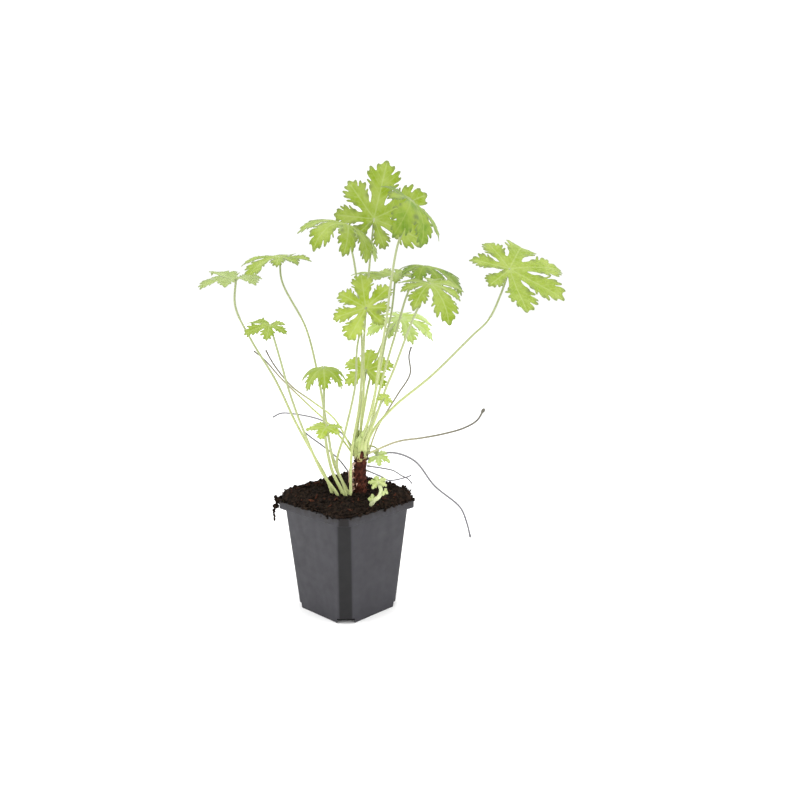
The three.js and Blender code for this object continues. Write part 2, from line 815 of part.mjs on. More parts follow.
const LUMP_SMALLEST = 1.5;
const LUMP_LARGEST = 3.3;
const RING_SHIFT = 0.7; // how far a point of a soil ring may stray round it, in sectors
const REACH_CHANGE = 0.05; // and how far in or out, as a share of its distance
const STRAND_ROUTE = [[-55, 0, 99], [-60.8, -1, 98.6], [-62.2, -2, 92], [-63, -3, 87], [-61.8, -3, 81]];
const STRAND_RADII = [1, 0.6]; // of a shred of bark hanging over the rim

// Distance from the middle to the side of a cut square, in one direction.
function cutSquareReach(half, cut, angle) {
  const across = Math.abs(Math.cos(angle));
  const along = Math.abs(Math.sin(angle));
  return Math.min(half / across, half / along, (2 * half - cut) / (across + along));
}

// A ring of soil at a share of the way out to a cut square, level or with loose crumbs.
function soilRing(half, cut, share, level, random) {
  const ring = [];
  const crumb = level === null ? 1 : 0;
  for (let i = 0; i < SOIL_SECTORS; i += 1) {
    const angle = ((i + 0.5 + RING_SHIFT * crumb * (random() - 0.5)) * 2 * Math.PI) / SOIL_SECTORS;
    const edge = share * cutSquareReach(half, cut, angle);
    const reach = edge * (1 + REACH_CHANGE * crumb * (random() - 0.5));
    const x = reach * Math.cos(angle);
    const y = reach * Math.sin(angle);
    ring.push([x, y, level ?? soilHeight(x, y, share) + SOIL_CRUMB * (random() - 0.5)]);
  }
  return ring;
}

// Where the plant's own frame puts a point in the pot's frame.
function turnedWithPlant(point) {
  return vector(point).applyAxisAngle(new THREE.Vector3(0, 0, 1), PLANT_TURN);
}

// The hole that a stalk stands in: the stalk itself, a little thicker and deeper.
function stemHole({ route, radii }) {
  const [foot, next] = route;
  const share = CLEARANCE / (next[2] - foot[2]);
  const deeper = foot.map((value, i) => value - share * (next[i] - value));
  const wider = radii.map((radius) => radius + ROOT_CLEARANCE);
  const turned = [deeper, ...route.slice(1)].map((point) => turnedWithPlant(point).toArray());
  return toManifold(stalkGeometry(turned, ...wider));
}

function rhizomeHole() {
  const depth = 2 * (POT_HEIGHT + CLEARANCE - RHIZOME_FOOT);
  const hole = new THREE.CylinderGeometry(RHIZOME_HOLE, RHIZOME_HOLE, depth, 14);
  hole.rotateX(Math.PI / 2);
  const middle = [CROWN.x, CROWN.y, RHIZOME_FOOT - CLEARANCE + depth / 2];
  return toManifold(hole.translate(...turnedWithPlant(middle)));
}

// Height of the soil where it lies open, without its crumbs.
function soilHeight(x, y, share) {
  const towardsBack = (x + y) * Math.SQRT1_2;
  return POT_HEIGHT + SOIL_EDGE + SOIL_CROWN * (1 - share ** 6) + SOIL_SLOPE * towardsBack;
}

function soilLump(random) {
  const lump = new THREE.IcosahedronGeometry(1, 0);
  const size = THREE.MathUtils.lerp(LUMP_SMALLEST, LUMP_LARGEST, random());
  lump.scale(size, size * (1 - 0.4 * random()), size * (1 - 0.4 * random()));
  lump.rotateZ(Math.PI * random());
  const angle = 2 * Math.PI * random();
  const share = Math.sqrt(random());
  const reach = share * cutSquareReach(SOIL_LIP - 1, CORNER_CUT_RIM, angle);
  const x = reach * Math.cos(angle);
  const y = reach * Math.sin(angle);
  return lump.translate(x, y, soilHeight(x, y, share));
}

function soilGeometry() {
  const random = randomStream(35);
  const inset = WALL + CLEARANCE;
  const foot = FLOOR + CLEARANCE;
  const seat = POT_HEIGHT + CLEARANCE;
  const rings = [
    soilRing(...bodySection(foot, inset), 1, foot, random),
    soilRing(...bodySection(seat, inset), 1, seat, random),
    soilRing(SOIL_LIP, CORNER_CUT_RIM, 1, seat, random),
  ];
  for (let k = 0; k < SOIL_TOP_RINGS; k += 1) {
    const share = 0.98 * (1 - k / SOIL_TOP_RINGS);
    rings.push(soilRing(SOIL_LIP, CORNER_CUT_RIM, share, null, random));
  }
  const above = new THREE.BoxGeometry(200, 200, 40).translate(0, 0, seat + 20);
  const lumps = Array.from({ length: SOIL_LUMPS }, () => toManifold(soilLump(random)));
  const heap = joinAll(lumps).intersect(toManifold(above));
  const strandRoute = STRAND_ROUTE.map((point) => turnedWithPlant(point).toArray());
  const strand = stalkGeometry(strandRoute, ...STRAND_RADII);
  const rooted = [...LEAVES.map(leafStalk), ...OLD_STALKS, SEEDLING_STEM];
  const holes = rooted.filter(({ route }) => route[0][2] < POT_HEIGHT).map(stemHole);
  const body = joinAll([toManifold(loft(rings)), heap, toManifold(strand)]);
  const drilled = body.subtract(joinAll([...holes, rhizomeHole()]));
  return toGeometry(drilled.subtract(footNotches(inset)));
}

// ---------------------------------------------------------------- the whole plant in its pot

const plant = new THREE.Group();
plant.rotation.z = PLANT_TURN;
LEAVES.forEach((shape, i) => {
  const leaf = { ...LEAF_DEFAULTS, colour: LEAF_GREEN, ...shape };
  const solid = leafSolid(leaf, randomStream(101 + i));
  plant.add(namedMesh(leaf.name, toGeometry(solid), leaf.colour, 0.6));
});
OLD_STALKS.forEach(({ name, route, radii }) => {
  plant.add(namedMesh(name, stalkGeometry(route, ...radii), STALK_BROWN, 0.8));
});
plant.add(namedMesh('seedling', toGeometry(seedlingSolid()), LEAF_PALE, 0.6));
plant.add(namedMesh('rhizome', toGeometry(rhizomeSolid()), RHIZOME_BROWN, 0.9));

const model = new THREE.Group();
model.add(namedMesh('pot', potGeometry(), POT_GREY, 0.55));
model.add(namedMesh('soil', soilGeometry(), SOIL_BROWN, 0.95));
model.add(plant);

export default model;
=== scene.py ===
"""A hardy geranium in a square nursery pot, dressed in finer pieces and finishes.

The file is laid out as a Blender add-on: each group of pieces has an operator, and a panel
lists them. It runs as a script, which calls the operators in order. The tables are in
millimetres, in the plant's own frame: +X to the right of its front, +Y to its back, and +Z
up from the underside of the pot. What is built is in metres, in the frame of the solids.
"""

import math
from typing import NamedTuple

import bmesh
import bpy
import numpy as np
from bpy.props import FloatProperty, FloatVectorProperty, IntProperty, PointerProperty
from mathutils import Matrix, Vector, noise
from mathutils.geometry import delaunay_2d_cdt


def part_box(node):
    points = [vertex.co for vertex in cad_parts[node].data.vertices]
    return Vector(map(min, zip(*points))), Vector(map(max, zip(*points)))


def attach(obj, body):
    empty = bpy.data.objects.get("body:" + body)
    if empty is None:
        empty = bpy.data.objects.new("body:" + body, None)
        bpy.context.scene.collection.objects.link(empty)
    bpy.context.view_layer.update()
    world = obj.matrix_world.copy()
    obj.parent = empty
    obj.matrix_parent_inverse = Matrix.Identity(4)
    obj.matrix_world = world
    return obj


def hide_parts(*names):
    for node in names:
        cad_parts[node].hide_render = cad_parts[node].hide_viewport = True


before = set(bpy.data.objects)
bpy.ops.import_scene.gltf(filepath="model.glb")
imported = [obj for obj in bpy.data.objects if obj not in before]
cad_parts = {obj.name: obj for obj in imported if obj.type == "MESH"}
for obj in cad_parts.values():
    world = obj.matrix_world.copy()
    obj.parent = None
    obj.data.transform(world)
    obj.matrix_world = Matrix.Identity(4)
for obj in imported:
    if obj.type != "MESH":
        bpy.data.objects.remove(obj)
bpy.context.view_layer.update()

bl_info = {
    "name": "Potted hardy geranium",
    "version": (1, 0, 0),
    "blender": (4, 5, 0),
    "location": "3D View > Sidebar > Geranium",
    "description": "Builds the leaves, stalks, rhizome, soil and pot of a hardy geranium",
    "category": "Object",
}

# ---------------------------------------------------------------- sizes

MM = 0.001
BODY = "root"
POT_LOW, POT_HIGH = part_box("pot")
RHIZOME_LOW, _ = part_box("rhizome")

PLANT_TURN = math.radians(-46.5)  # the plant's front looks over a corner of the pot

RIM_SIDE = round((POT_HIGH.x - POT_LOW.x) / MM, 3)
POT_HEIGHT = round(POT_HIGH.z / MM, 3)
RHIZOME_FOOT = round(RHIZOME_LOW.z / MM, 3)
BODY_TOP_SIDE = 85.3  # the pot's tapered body, at the height of the rim
BODY_BASE_SIDE = 67.8
CORNER_CUT_TOP = 8.4  # leg of the cut across each upright corner
CORNER_CUT_BASE = 8.0
CORNER_CUT_RIM = 6.2
CORNER_ROUNDING = 2.2  # where a cut meets a side
RIM_SKIRT = 6.4  # height of the turned-down lip
FOOT_NOTCH_HEIGHT = 4.6
FOOT_NOTCH_DEPTH = 8.0
FOOT_NOTCH_SPREAD = 1.8  # how far a notch reaches into the sides next to its corner
DRAIN_RADIUS = 2.9
DRAIN_REACH = 19.0  # from the middle of the floor to the middle of each hole
DRAIN_SIDES = 28
INNER_FILLET = 0.6  # along the foot of the hollow and under its mouth
SHARP_ANGLE = math.radians(32)  # edges of the pot sharper than this stay crisp

SOIL_EDGE = 4.0  # how far the soil stands above the rim along its edge
SOIL_CROWN = 3.0  # how much higher its middle stands
SOIL_SLOPE = 0.045  # how much it rises towards the back, for each millimetre
SOIL_BANK = 5.0  # how far the soil is heaped up along the sides, except towards the front
SOIL_LIP = 44.2  # half the width of the soil lying on the rim
STRAND_ROUTE = [  # the shred of peat that hangs over the left corner
    (-56, 0, 101), (-60, -1, 98.4), (-62.2, -1, 95), (-63, -2, 91), (-65, -2, 88),
    (-64.2, -3, 84.7), (-64, -3, 80),
]
STRAND_CLUMPS = [((-62, -1, 96.2), 2.6), ((-62.6, -2, 91.6), 2.9), ((-59.2, -1, 95), 1.8)]

CROWN = (13, 0, 141)  # top of the rhizome
RHIZOME_RADIUS = 5.6
RHIZOME_SWAY = 1.2  # how far its middle bends to the left
AERIAL_ROOTS = [
    [(9, -2, 131), (3.5, -4, 127), (2.5, -5, 118), (4, -4, 108)],
    [(9, 1, 127), (4.5, 3, 121), (4, 5, 114), (5.5, 6, 108)],
    [(11, -4, 124), (8, -8.5, 118), (8.5, -9, 113), (9, -7, 107)],
]

# Half of one lobe of a blade, between the gap beside it and its tip. Each point is a share
# of the lobe's length and a share of the half sector that the lobe fills.
LARGE_EDGE = [
    (0.4, 0.72), (0.53, 0.86), (0.55, 0.78), (0.68, 0.98), (0.6, 0.62), (0.8, 0.84), (0.77, 0.68),
    (0.88, 0.64), (0.75, 0.33), (0.94, 0.4), (0.91, 0.2),
]
SMALL_EDGE = [
    (0.48, 0.78), (0.7, 0.94), (0.62, 0.6), (0.84, 0.7), (0.74, 0.34), (0.95, 0.34), (0.9, 0.14),
]
TINY_EDGE = [(0.55, 0.82), (0.8, 0.8), (0.7, 0.38), (0.93, 0.36)]
TOOTH_CHANGE = (0.022, 0.05)  # how far a tooth may stray along and across its lobe
LARGE_BLADE = 30  # radius from which the lobes have all their teeth
TINY_BLADE = 12  # radius up to which they have the fewest
LOBE_STEP = {3: 84, 5: 62, 7: 49}  # degrees from one lobe to the next
LENGTH_CHANGE = 0.1  # how far lobes may differ in length, as a share of it
ANGLE_CHANGE = 0.07  # and in direction, as a share of the step
TOOTH_RISE = 0.05  # least way from the gap beside a lobe to its first tooth
TOOTH_SWELL = 0.06  # how far the sides of a tooth bulge, as a share of their length
TOOTH_SHOULDERS = (0.5, 0.2)  # where the bulging sides bend, back from the tooth's end
TOOTH_BLUNTING = 0.06  # how far a tooth's end is drawn back
NOTCH_ROUNDING = 0.22  # where a notch starts to round, back from its point
NOTCH_FLAT = 0.1
STALK_TAPER = 0.7  # a stalk's radius at the blade, as a share of its radius at the root

LEAF_SEED, SEEDLING_SEED, SOIL_SEED, RHIZOME_SEED = 101, 77, 11, 5


class Leaf(NamedTuple):
    """A leaf: its stalk's route from root to blade, and how its blade lies.

    The blade's upper face looks along facing, and its middle lobe points along heading. cup
    is how far it bends down to its edge, in radians, and lean how much further on the side
    that lean_to gives. gap is how near the blade's middle the gaps between lobes reach, fold
    how much the lobes fold up along their mid veins, and wave how much the edge waves. stalk
    is the stalk's radius at its root, and lengths are those of the lobes, from right to left.
    """

    name: str
    route: list
    facing: tuple
    heading: tuple
    radius: float
    lobes: int = 7
    cup: float = 0.5
    lean: float = 0
    lean_to: float = 0
    gap: float = 0.26
    fold: float = 0.16
    wave: float = 0.06
    stalk: float = 1.25
    lengths: tuple = (0.8, 0.9, 0.97, 1, 0.97, 0.9, 0.8)
    finish: str = "leaf"
    # Picks a brighter finish: the paler green of young leaves, and painted light on leaf_middle.
    fresh_and_painted_light: bool = False


class Stalk(NamedTuple):
    """An old stalk or a root in the air, with its radius at both ends and at its knob."""

    name: str
    route: list
    radii: tuple
    skin: str = "dry"
    knob: float = 0


LEAVES = [
    Leaf(
        "leaf_summit", facing=(0.04, -0.96, 0.26), heading=(0.24, 0.26, 0.93), radius=53, cup=0.08,
        lean=0.11, lean_to=-1.92, lengths=(0.58, 0.94, 1.02, 1.05, 0.83, 0.69, 0.55),
        route=[(12, 1.8, 141.5), (12.5, 4, 160), (15, 7, 190), (15, 14, 229), (20, 24, 300),
            (24.1, 30, 342.6)],
    ),
    Leaf(
        "leaf_upper_left", facing=(0.32, -0.02, 0.95), heading=(-0.94, -0.15, 0.32), radius=49,
        cup=1.2, lean=0.8, lean_to=1.73, lengths=(0.93, 0.92, 0.83, 0.81, 0.96, 0.78, 0.81),
        route=[(4, -10, 91.5), (4, -10, 102), (5, -8, 140), (12, -1, 184), (14, 7, 230),
            (11, 14, 270), (8, 10, 302), (4, -8, 325), (3, -20, 334)],
    ),
    Leaf(
        "leaf_upper_right", facing=(0.56, -0.12, 0.82), heading=(0.8, 0.3, -0.5), radius=46,
        cup=0.75, lean=0.75, lean_to=-1.6, lengths=(0.55, 1.05, 0.95, 0.92, 0.62, 0.6, 0.6),
        # Painted shade: the dark finish stands in for the shade on this folded blade.
        finish="leaf_dark",
        route=[(14, -1.8, 141.5), (15, -4, 155), (23, -9, 179), (30, -16, 222), (36, -24, 258),
            (39, -29, 282), (45, -33, 316), (50, -35, 330), (54.9, -36, 351.2)],
    ),
    Leaf(
        "leaf_middle", facing=(-0.04, -0.86, 0.5), heading=(-0.15, 0.51, 0.85), radius=38,
        cup=0.08, lean=0.22, lean_to=0.08, lengths=(0.55, 0.55, 0.83, 0.96, 0.81, 0.75, 0.9),
        # Painted light: the brighter finish lifts this blade as if more light fell on it.
        fresh_and_painted_light=True,
        route=[(2, -4, 91.5), (2, -4, 102), (-8, -6, 129), (0, -8, 161), (9, -11, 201),
            (11, -12, 234), (18.4, -10, 265.8)],
    ),
    Leaf(
        "leaf_right_shade", facing=(0.15, -0.09, 0.98), heading=(-0.25, -0.97, -0.05), radius=38,
        cup=0.96, lean=0.5, lean_to=-0.12, lengths=(0.8, 0.64, 0.62, 0.74, 0.81, 1.06, 1.2),
        # Painted shade: the dark finish stands in for the shade that this blade lies in.
        finish="leaf_dark",
        route=[(17.3, 2.5, 141.5), (18.5, 3, 152), (26, 3, 181), (33, 5, 209), (44, 9, 246),
            (55, 11, 281), (68.7, 16, 301.4)],
    ),
    Leaf(
        "leaf_right_front", facing=(0.08, -0.31, 0.95), heading=(0.4, -0.86, -0.32), radius=39,
        cup=0.66, lean=0.27, lean_to=-0.22, lengths=(0.8, 0.67, 0.86, 1.18, 0.75, 0.92, 0.8),
        route=[(16.2, -3.8, 141.5), (17, -5, 150), (25, -8, 169), (35, -13, 198), (42, -18, 215),
            (58, -29, 258), (71.1, -36, 285.5)],
    ),
    Leaf(
        "leaf_back", facing=(0.05, -0.45, 0.89), heading=(0.95, -0.26, -0.18), radius=36, cup=0.8,
        lengths=(1, 0.74, 0.9, 1.06, 1.2, 0.84, 0.8), finish="leaf_pale",
        route=[(11.7, 4.9, 141.5), (12, 9, 156), (15, 16, 176), (19, 28, 198), (25, 42, 218),
            (35, 60, 240), (48, 78, 254.3)],
    ),
    Leaf(
        "leaf_heart", facing=(-0.1, -0.8, 0.6), heading=(0.1, 0.5, 0.8), radius=27, lobes=5,
        cup=0.5, fresh_and_painted_light=True,
        route=[(8.7, 2.5, 141.5), (9, 5, 156), (13, 14, 184), (17, 21, 210)],
    ),
    Leaf(
        "leaf_bud", facing=(0.2, -0.6, 0.7), heading=(0.5, 0.2, 0.8), radius=8, lobes=5, gap=0.5,
        stalk=0.9, fresh_and_painted_light=True,
        route=[(13, -5, 141.5), (15, -8, 152), (23, -17, 170), (31, -24, 186), (34, -26, 191)],
    ),
    Leaf(
        "leaf_far_right", facing=(0.13, -0.74, 0.66), heading=(0.95, 0.29, 0.14), radius=53,
        cup=0.08, lean=0.52, lean_to=0.85, lengths=(0.65, 0.96, 1.02, 1, 1.01, 0.75, 0.66),
        route=[(18, -0.7, 141.5), (19, -1, 150), (26, -2, 163), (43, -4, 182), (74, -6, 208),
            (108, -8, 242), (122, -8, 256), (132, -9, 278), (138.4, -10, 298.1)],
    ),
    Leaf(
        "leaf_far_left", facing=(-0.02, -0.05, 1), heading=(-0.98, 0.21, -0.01), radius=36,
        cup=0.08, lean=0.47, lean_to=-0.85, lengths=(0.59, 0.92, 0.92, 0.98, 0.7, 1.2, 0.8),
        route=[(-12, -5, 91.5), (-12, -5, 101), (-18, -5, 119), (-27, -5, 136), (-43, -6, 167),
            (-60, -7, 205), (-79, -10, 239), (-91, -12, 267), (-89.8, -12, 290.6)],
    ),
    Leaf(
        "leaf_left_upper", facing=(0.04, -0.13, 0.99), heading=(-0.75, -0.66, 0), radius=42,
        cup=0.42, lean=0.5, lean_to=0.3, lengths=(0.6, 0.6, 0.95, 1, 0.6, 0.62, 0.68),
        route=[(1, 0, 91.5), (1, 0, 102), (-11, 0, 129), (-17, 6, 159), (-28, 22, 214),
            (-38, 32, 248), (-60, 43, 289), (-61.6, 45, 310.4)],
    ),
    Leaf(
        "leaf_left_lower", facing=(0.09, -0.44, 0.89), heading=(0.01, -0.89, -0.45), radius=25,
        lobes=5, cup=0.5, lengths=(0, 0.92, 0.93, 0.76, 0.66, 0.55, 0),
        route=[(-7, -9, 91.5), (-7, -9, 102), (-21, -13, 126), (-38, -19, 171), (-46, -25, 199),
            (-52, -29, 225), (-59.1, -31, 252.4)],
    ),
    Leaf(
        "leaf_umbrella", facing=(0, -0.25, 0.97), heading=(0.1, -1, 0), radius=26, cup=1.3,
        gap=0.55, stalk=1.5, lengths=(0.95, 0.95, 0.95, 0.95, 0.95, 0.95, 0.95),
        route=[(-2, -8, 91.5), (-2, -8, 102), (-12, -10, 126), (-17, -19, 163), (-16, -28, 200),
            (-16, -30, 217)],
    ),
    Leaf(
        "leaf_low_left", facing=(0.05, -0.25, 0.97), heading=(-0.2, -1, 0), radius=17, lobes=5,
        cup=0.25, gap=0.5, stalk=0.9, fresh_and_painted_light=True,
        route=[(1, -13, 91.5), (1, -13, 102), (-6, -22, 129), (-11, -33, 152), (-14, -38, 169)],
    ),
    Leaf(
        "leaf_low_right", facing=(0.05, -0.5, 0.86), heading=(0.9, -0.2, -0.25), radius=11.5,
        lobes=5, cup=0.4, gap=0.45, stalk=0.9, finish="leaf_pale",
        route=[(15.2, 5.2, 141.9), (19, 7, 144), (24.5, 5.5, 143.5), (27.5, 1, 141),
            (27.4, -2, 137)],
    ),
    Leaf(
        "leaf_level", facing=(0.01, -0.19, 0.98), heading=(-0.99, 0.14, 0.03), radius=38, cup=0.08,
        lengths=(0.55, 0.7, 0.95, 1.05, 0.95, 0.7, 0.55),
        route=[(14.5, 1.8, 141.5), (16, 5, 154), (23.5, 8, 184), (30, 13, 215), (34.5, 22, 238),
            (39.5, 34, 262), (43, 52, 295)],
    ),
]

OLD_STALKS = [
    Stalk(
        "stalk_right_knob", radii=(0.95, 0.8), knob=1.6,
        route=[(18.6, -2.4, 139), (45, -8, 151), (66, -12, 155), (83, -16, 159), (101, -20, 165),
            (112, -22, 172), (117, -24, 181)],
    ),
    Stalk(
        "stalk_right_trailing", radii=(0.95, 0.8), skin="grey", knob=1.1,
        route=[(17.8, 3.5, 133), (39, 12, 137), (60, 14, 129), (78, 10, 107), (101, 6, 88),
            (107, 5, 74), (110, 4, 62)],
    ),
    Stalk(
        "stalk_right_upright", radii=(0.8, 0.65),
        route=[(19.3, 1.3, 139), (27, 7, 160), (45, 15, 189), (56, 19, 207), (55, 20, 223),
            (57, 20, 231)],
    ),
    Stalk(
        "stalk_left_front", radii=(0.9, 0.6), skin="green",
        route=[(7.2, -1.5, 138), (-10, -3, 170), (-28, -4, 185), (-45, -14, 200), (-59, -18, 219),
            (-65, -20, 231)],
    ),
    Stalk(
        "stalk_left_back", radii=(0.9, 0.6), skin="green",
        route=[(7, 1.6, 136), (-11, 2, 160), (-36, 4, 184), (-59, 12, 205), (-73, 20, 219),
            (-83, 22, 227)],
    ),
    Stalk(
        "stalk_left_level", radii=(0.75, 0.65), skin="grey",
        route=[(9.2, 4, 138), (-7, 18, 155), (-25, 27, 164), (-50, 36, 168), (-63, 40, 168),
            (-71, 42, 164)],
    ),
    Stalk(
        "stalk_left_thin", radii=(0.75, 0.65), skin="grey",
        route=[(8, 25, 92), (8, 25, 100), (-7, 24, 126), (-23, 22, 141), (-33, 20, 149),
            (-39, 20, 154)],
    ),
    Stalk(
        "root_right_upper", radii=(0.7, 0.55), skin="grey",
        route=[(18.3, 2.3, 127), (32, 10, 123), (41, 14, 120), (49, 18, 114), (54, 20, 111),
            (58, 22, 106)],
    ),
    Stalk(
        "root_right_lower", radii=(0.7, 0.55), skin="grey",
        route=[(17.3, -1.3, 124), (31, 3, 117), (37, 6, 113), (50, 10, 114), (57, 12, 116)],
    ),
]

SEEDLING_STEM = Stalk(
    "seedling_stem", radii=(2.1, 1.5),
    route=[(22.8, -29.8, 91.5), (22.9, -29.9, 101), (25.3, -32.6, 105.5), (29.5, -35, 109.5),
        (31.1, -35.5, 115), (29.5, -35.5, 120)],
)
SEEDLING_BLADES = [
    Leaf(
        "seedling_top", facing=(0, -0.6, 0.8), heading=(-0.3, 0.8, 0.6), radius=9, lobes=5,
        stalk=0.9,
        route=[(29.9, -35.5, 119), (28.8, -36, 122)],
    ),
    Leaf(
        "seedling_side", facing=(0.3, -0.8, 0.5), heading=(0.85, -0.1, -0.35), radius=3.8, lobes=3,
        stalk=0.9,
        route=[(30.5, -35.2, 111.5), (33, -36.5, 113.5), (34, -37, 114.5)],
    ),
    Leaf(
        "seedling_low", facing=(-0.3, -0.9, 0.25), heading=(-0.15, 0.3, 0.95), radius=4.6, lobes=3,
        stalk=0.9,
        route=[(25.2, -32.6, 104.8), (24, -34, 107)],
    ),
]

# ---------------------------------------------------------------- small helpers


def hash_stream(seed):
    """Repeatable numbers from 0 to 1, the same ones that shaped the solids' leaves."""
    mask = 0xFFFFFFFF
    state = seed
    while True:
        state = (state + 0x6D2B79F5) & mask
        value = ((state ^ (state >> 15)) * (1 | state)) & mask
        value = (value + ((value ^ (value >> 7)) * (61 | value))) & mask ^ value
        yield ((value ^ (value >> 14)) & mask) / (mask + 1)


def spin(angle):
    """The matrix that turns rows of points anticlockwise about +Z."""
    cos, sin = math.cos(angle), math.sin(angle)
    return np.array([[cos, sin, 0], [-sin, cos, 0], [0, 0, 1]])


def to_row(points):
    """Points of the plant's own frame, in millimetres, as metres in the solids' frame."""
    return np.array(points, float).reshape(-1, 3) @ spin(PLANT_TURN) * MM


def unit(vector):
    """The vector at length 1."""
    return np.array(vector, float) / np.linalg.norm(vector)


class Shape:
    """Vertices and faces gathered for one mesh, with what their finishes read."""

    def __init__(self):
        self.points, self.faces, self.slots = [], [], []
        self.maps, self.shares, self.creases = [], [], []
        self.count = 0

    def add(self, points, faces, slot=0, plan=None, share=None, creases=()):
        """Adds a patch. plan is its flat map and share how far along it each point lies."""
        size = len(points)
        self.points.append(points)
        self.faces += [tuple(corner + self.count for corner in face) for face in faces]
        self.slots += [slot] * len(faces)
        self.maps.append(np.zeros((size, 2)) if plan is None else plan)
        self.shares.append(np.zeros(size) if share is None else share)
        self.creases += [(a + self.count, b + self.count) for a, b in creases]
        self.count += size

    def build(self, name, materials, smooth=True):
        """The piece, whose points are already in metres in the solids' frame."""
        mesh = bpy.data.meshes.new(name)
        mesh.from_pydata(np.vstack(self.points).tolist(), [], self.faces)
        for material in materials:
            mesh.materials.append(material)
        mesh.polygons.foreach_set("material_index", self.slots)
        mesh.polygons.foreach_set("use_smooth", [smooth] * len(self.faces))
        corners = np.empty(len(mesh.loops), int)
        mesh.loops.foreach_get("vertex_index", corners)
        plan = mesh.uv_layers.new(name="plan")
        plan.data.foreach_set("uv", np.vstack(self.maps)[corners].ravel())
        share = mesh.attributes.new("share", "FLOAT", "POINT")
        share.data.foreach_set("value", np.concatenate(self.shares))
        self.mark_creases(mesh)
        mesh.update()
        piece = bpy.data.objects.new(name, mesh)
        bpy.context.scene.collection.objects.link(piece)
        return piece

    def mark_creases(self, mesh):
        """Keeps the shading of a thin edge off the faces beside it."""
        sharp = {tuple(sorted(pair)) for pair in self.creases}
        if not sharp:
            return
        ends = np.empty(len(mesh.edges) * 2, int)
        mesh.edges.foreach_get("vertices", ends)
        pairs = np.sort(ends.reshape(-1, 2), axis=1).tolist()
        flags = mesh.attributes.new("sharp_edge", "BOOLEAN", "EDGE")
        flags.data.foreach_set("value", [tuple(pair) in sharp for pair in pairs])


def settle(piece, slot, *nodes):
    """Fixes a piece to the solids' body, in place of the nodes that it stands for."""
    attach(piece, BODY)
    if nodes:
        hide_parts(*nodes)
    return piece


# ---------------------------------------------------------------- finishes


def linear(hex_colour):
    """An sRGB colour such as "#9DBF3F" as linear red, green, blue and alpha."""
    shares = [int(hex_colour[i:i + 2], 16) / 255 for i in (1, 3, 5)]
    curve = [s / 12.92 if s <= 0.04045 else ((s + 0.055) / 1.055) ** 2.4 for s in shares]
    return (*curve, 1.0)


def add_node(tree, kind, inputs=None, stops=None, **settings):
    """Adds a node, sets its settings and inputs, and links the inputs given as sockets.

    An input given as a node is linked to its first output. stops are the places and colours
    of its colour ramp.
    """
    node = tree.nodes.new(kind)
    for key, value in settings.items():
        setattr(node, key, value)
    for key, value in (inputs or {}).items():
        if isinstance(value, bpy.types.Node):
            value = value.outputs[0]
        if isinstance(value, bpy.types.NodeSocket):
            tree.links.new(value, node.inputs[key])
        else:
            node.inputs[key].default_value = value
    for number, (place, colour) in enumerate(stops or []):
        elements = node.color_ramp.elements
        stop = elements[number] if number < len(elements) else elements.new(place)
        stop.position = place
        stop.color = colour
    return node


def new_material(name):
    """An empty node material and its tree."""
    material = bpy.data.materials.new(name)
    material.use_nodes = True
    material.node_tree.nodes.clear()
    return material, material.node_tree


def grain(tree, size_mm, detail=3, rough=0.5):
    """Noise over the piece whose patches are about the size given, in millimetres."""
    place = add_node(tree, "ShaderNodeTexCoord").outputs["Object"]
    scale = 1 / (size_mm * MM)
    return add_node(tree, "ShaderNodeTexNoise", {
        "Vector": place, "Scale": scale, "Detail": detail, "Roughness": rough,
    }).outputs["Fac"]


def patchy(tree, colour, over, size_mm, least, full, most=1.0, detail=4, rough=0.5):
    """A colour with patches of another over it, about the size given, in millimetres.

    They begin where the noise is least, and where it is full their share is the most given.
    """
    share = add_node(tree, "ShaderNodeMapRange", {
        "Value": grain(tree, size_mm, detail, rough), "From Min": least, "From Max": full,
        "To Max": most,
    })
    return add_node(
        tree, "ShaderNodeMix", {0: share, 6: colour, 7: over}, data_type="RGBA",
    ).outputs[2]


VEIN_UNIT = 10  # millimetres of blade to one unit of its flat map
SIDE_VEIN_STEP = 6.5  # millimetres between side veins along a mid vein
SIDE_VEIN_LEAN = 1.15  # millimetres along for each one across


def vein_pattern(tree, wide):
    """1 on the veins of a blade and 0 between them: mid veins, and fainter side veins."""
    plan = add_node(tree, "ShaderNodeUVMap", uv_map="plan").outputs["UV"]
    along, across, _ = add_node(tree, "ShaderNodeSeparateXYZ", {"Vector": plan}).outputs
    mid = add_node(tree, "ShaderNodeMapRange", {
        "Value": across, "From Min": 0.2 * wide / VEIN_UNIT, "From Max": wide / VEIN_UNIT,
        "To Min": 1.0, "To Max": 0.0,
    }, interpolation_type="SMOOTHSTEP")
    away = add_node(tree, "ShaderNodeMath", {
        0: across, 1: -SIDE_VEIN_LEAN, 2: along,
    }, operation="MULTIPLY_ADD")
    # The steps turn the slanting distance into 0 on a side vein and 0.5 between two of them.
    for operation, number in (
        ("DIVIDE", SIDE_VEIN_STEP / VEIN_UNIT), ("FRACT", 0), ("SUBTRACT", 0.5), ("ABSOLUTE", 0),
    ):
        away = add_node(tree, "ShaderNodeMath", {0: away, 1: number}, operation=operation)
    side = add_node(tree, "ShaderNodeMapRange", {
        "Value": away, "From Min": 0.01, "From Max": 0.6 * wide / SIDE_VEIN_STEP,
        "To Min": 0.6, "To Max": 0.0,
    }, interpolation_type="SMOOTHSTEP")
    return add_node(tree, "ShaderNodeMath", {0: mid, 1: side}, operation="MAXIMUM")


class LeafFinish(NamedTuple):
    """A blade's sRGB hex values: its patches, veins and dried tips, and light through it."""

    light: str
    deep: str
    vein: str
    tip: str
    through: str


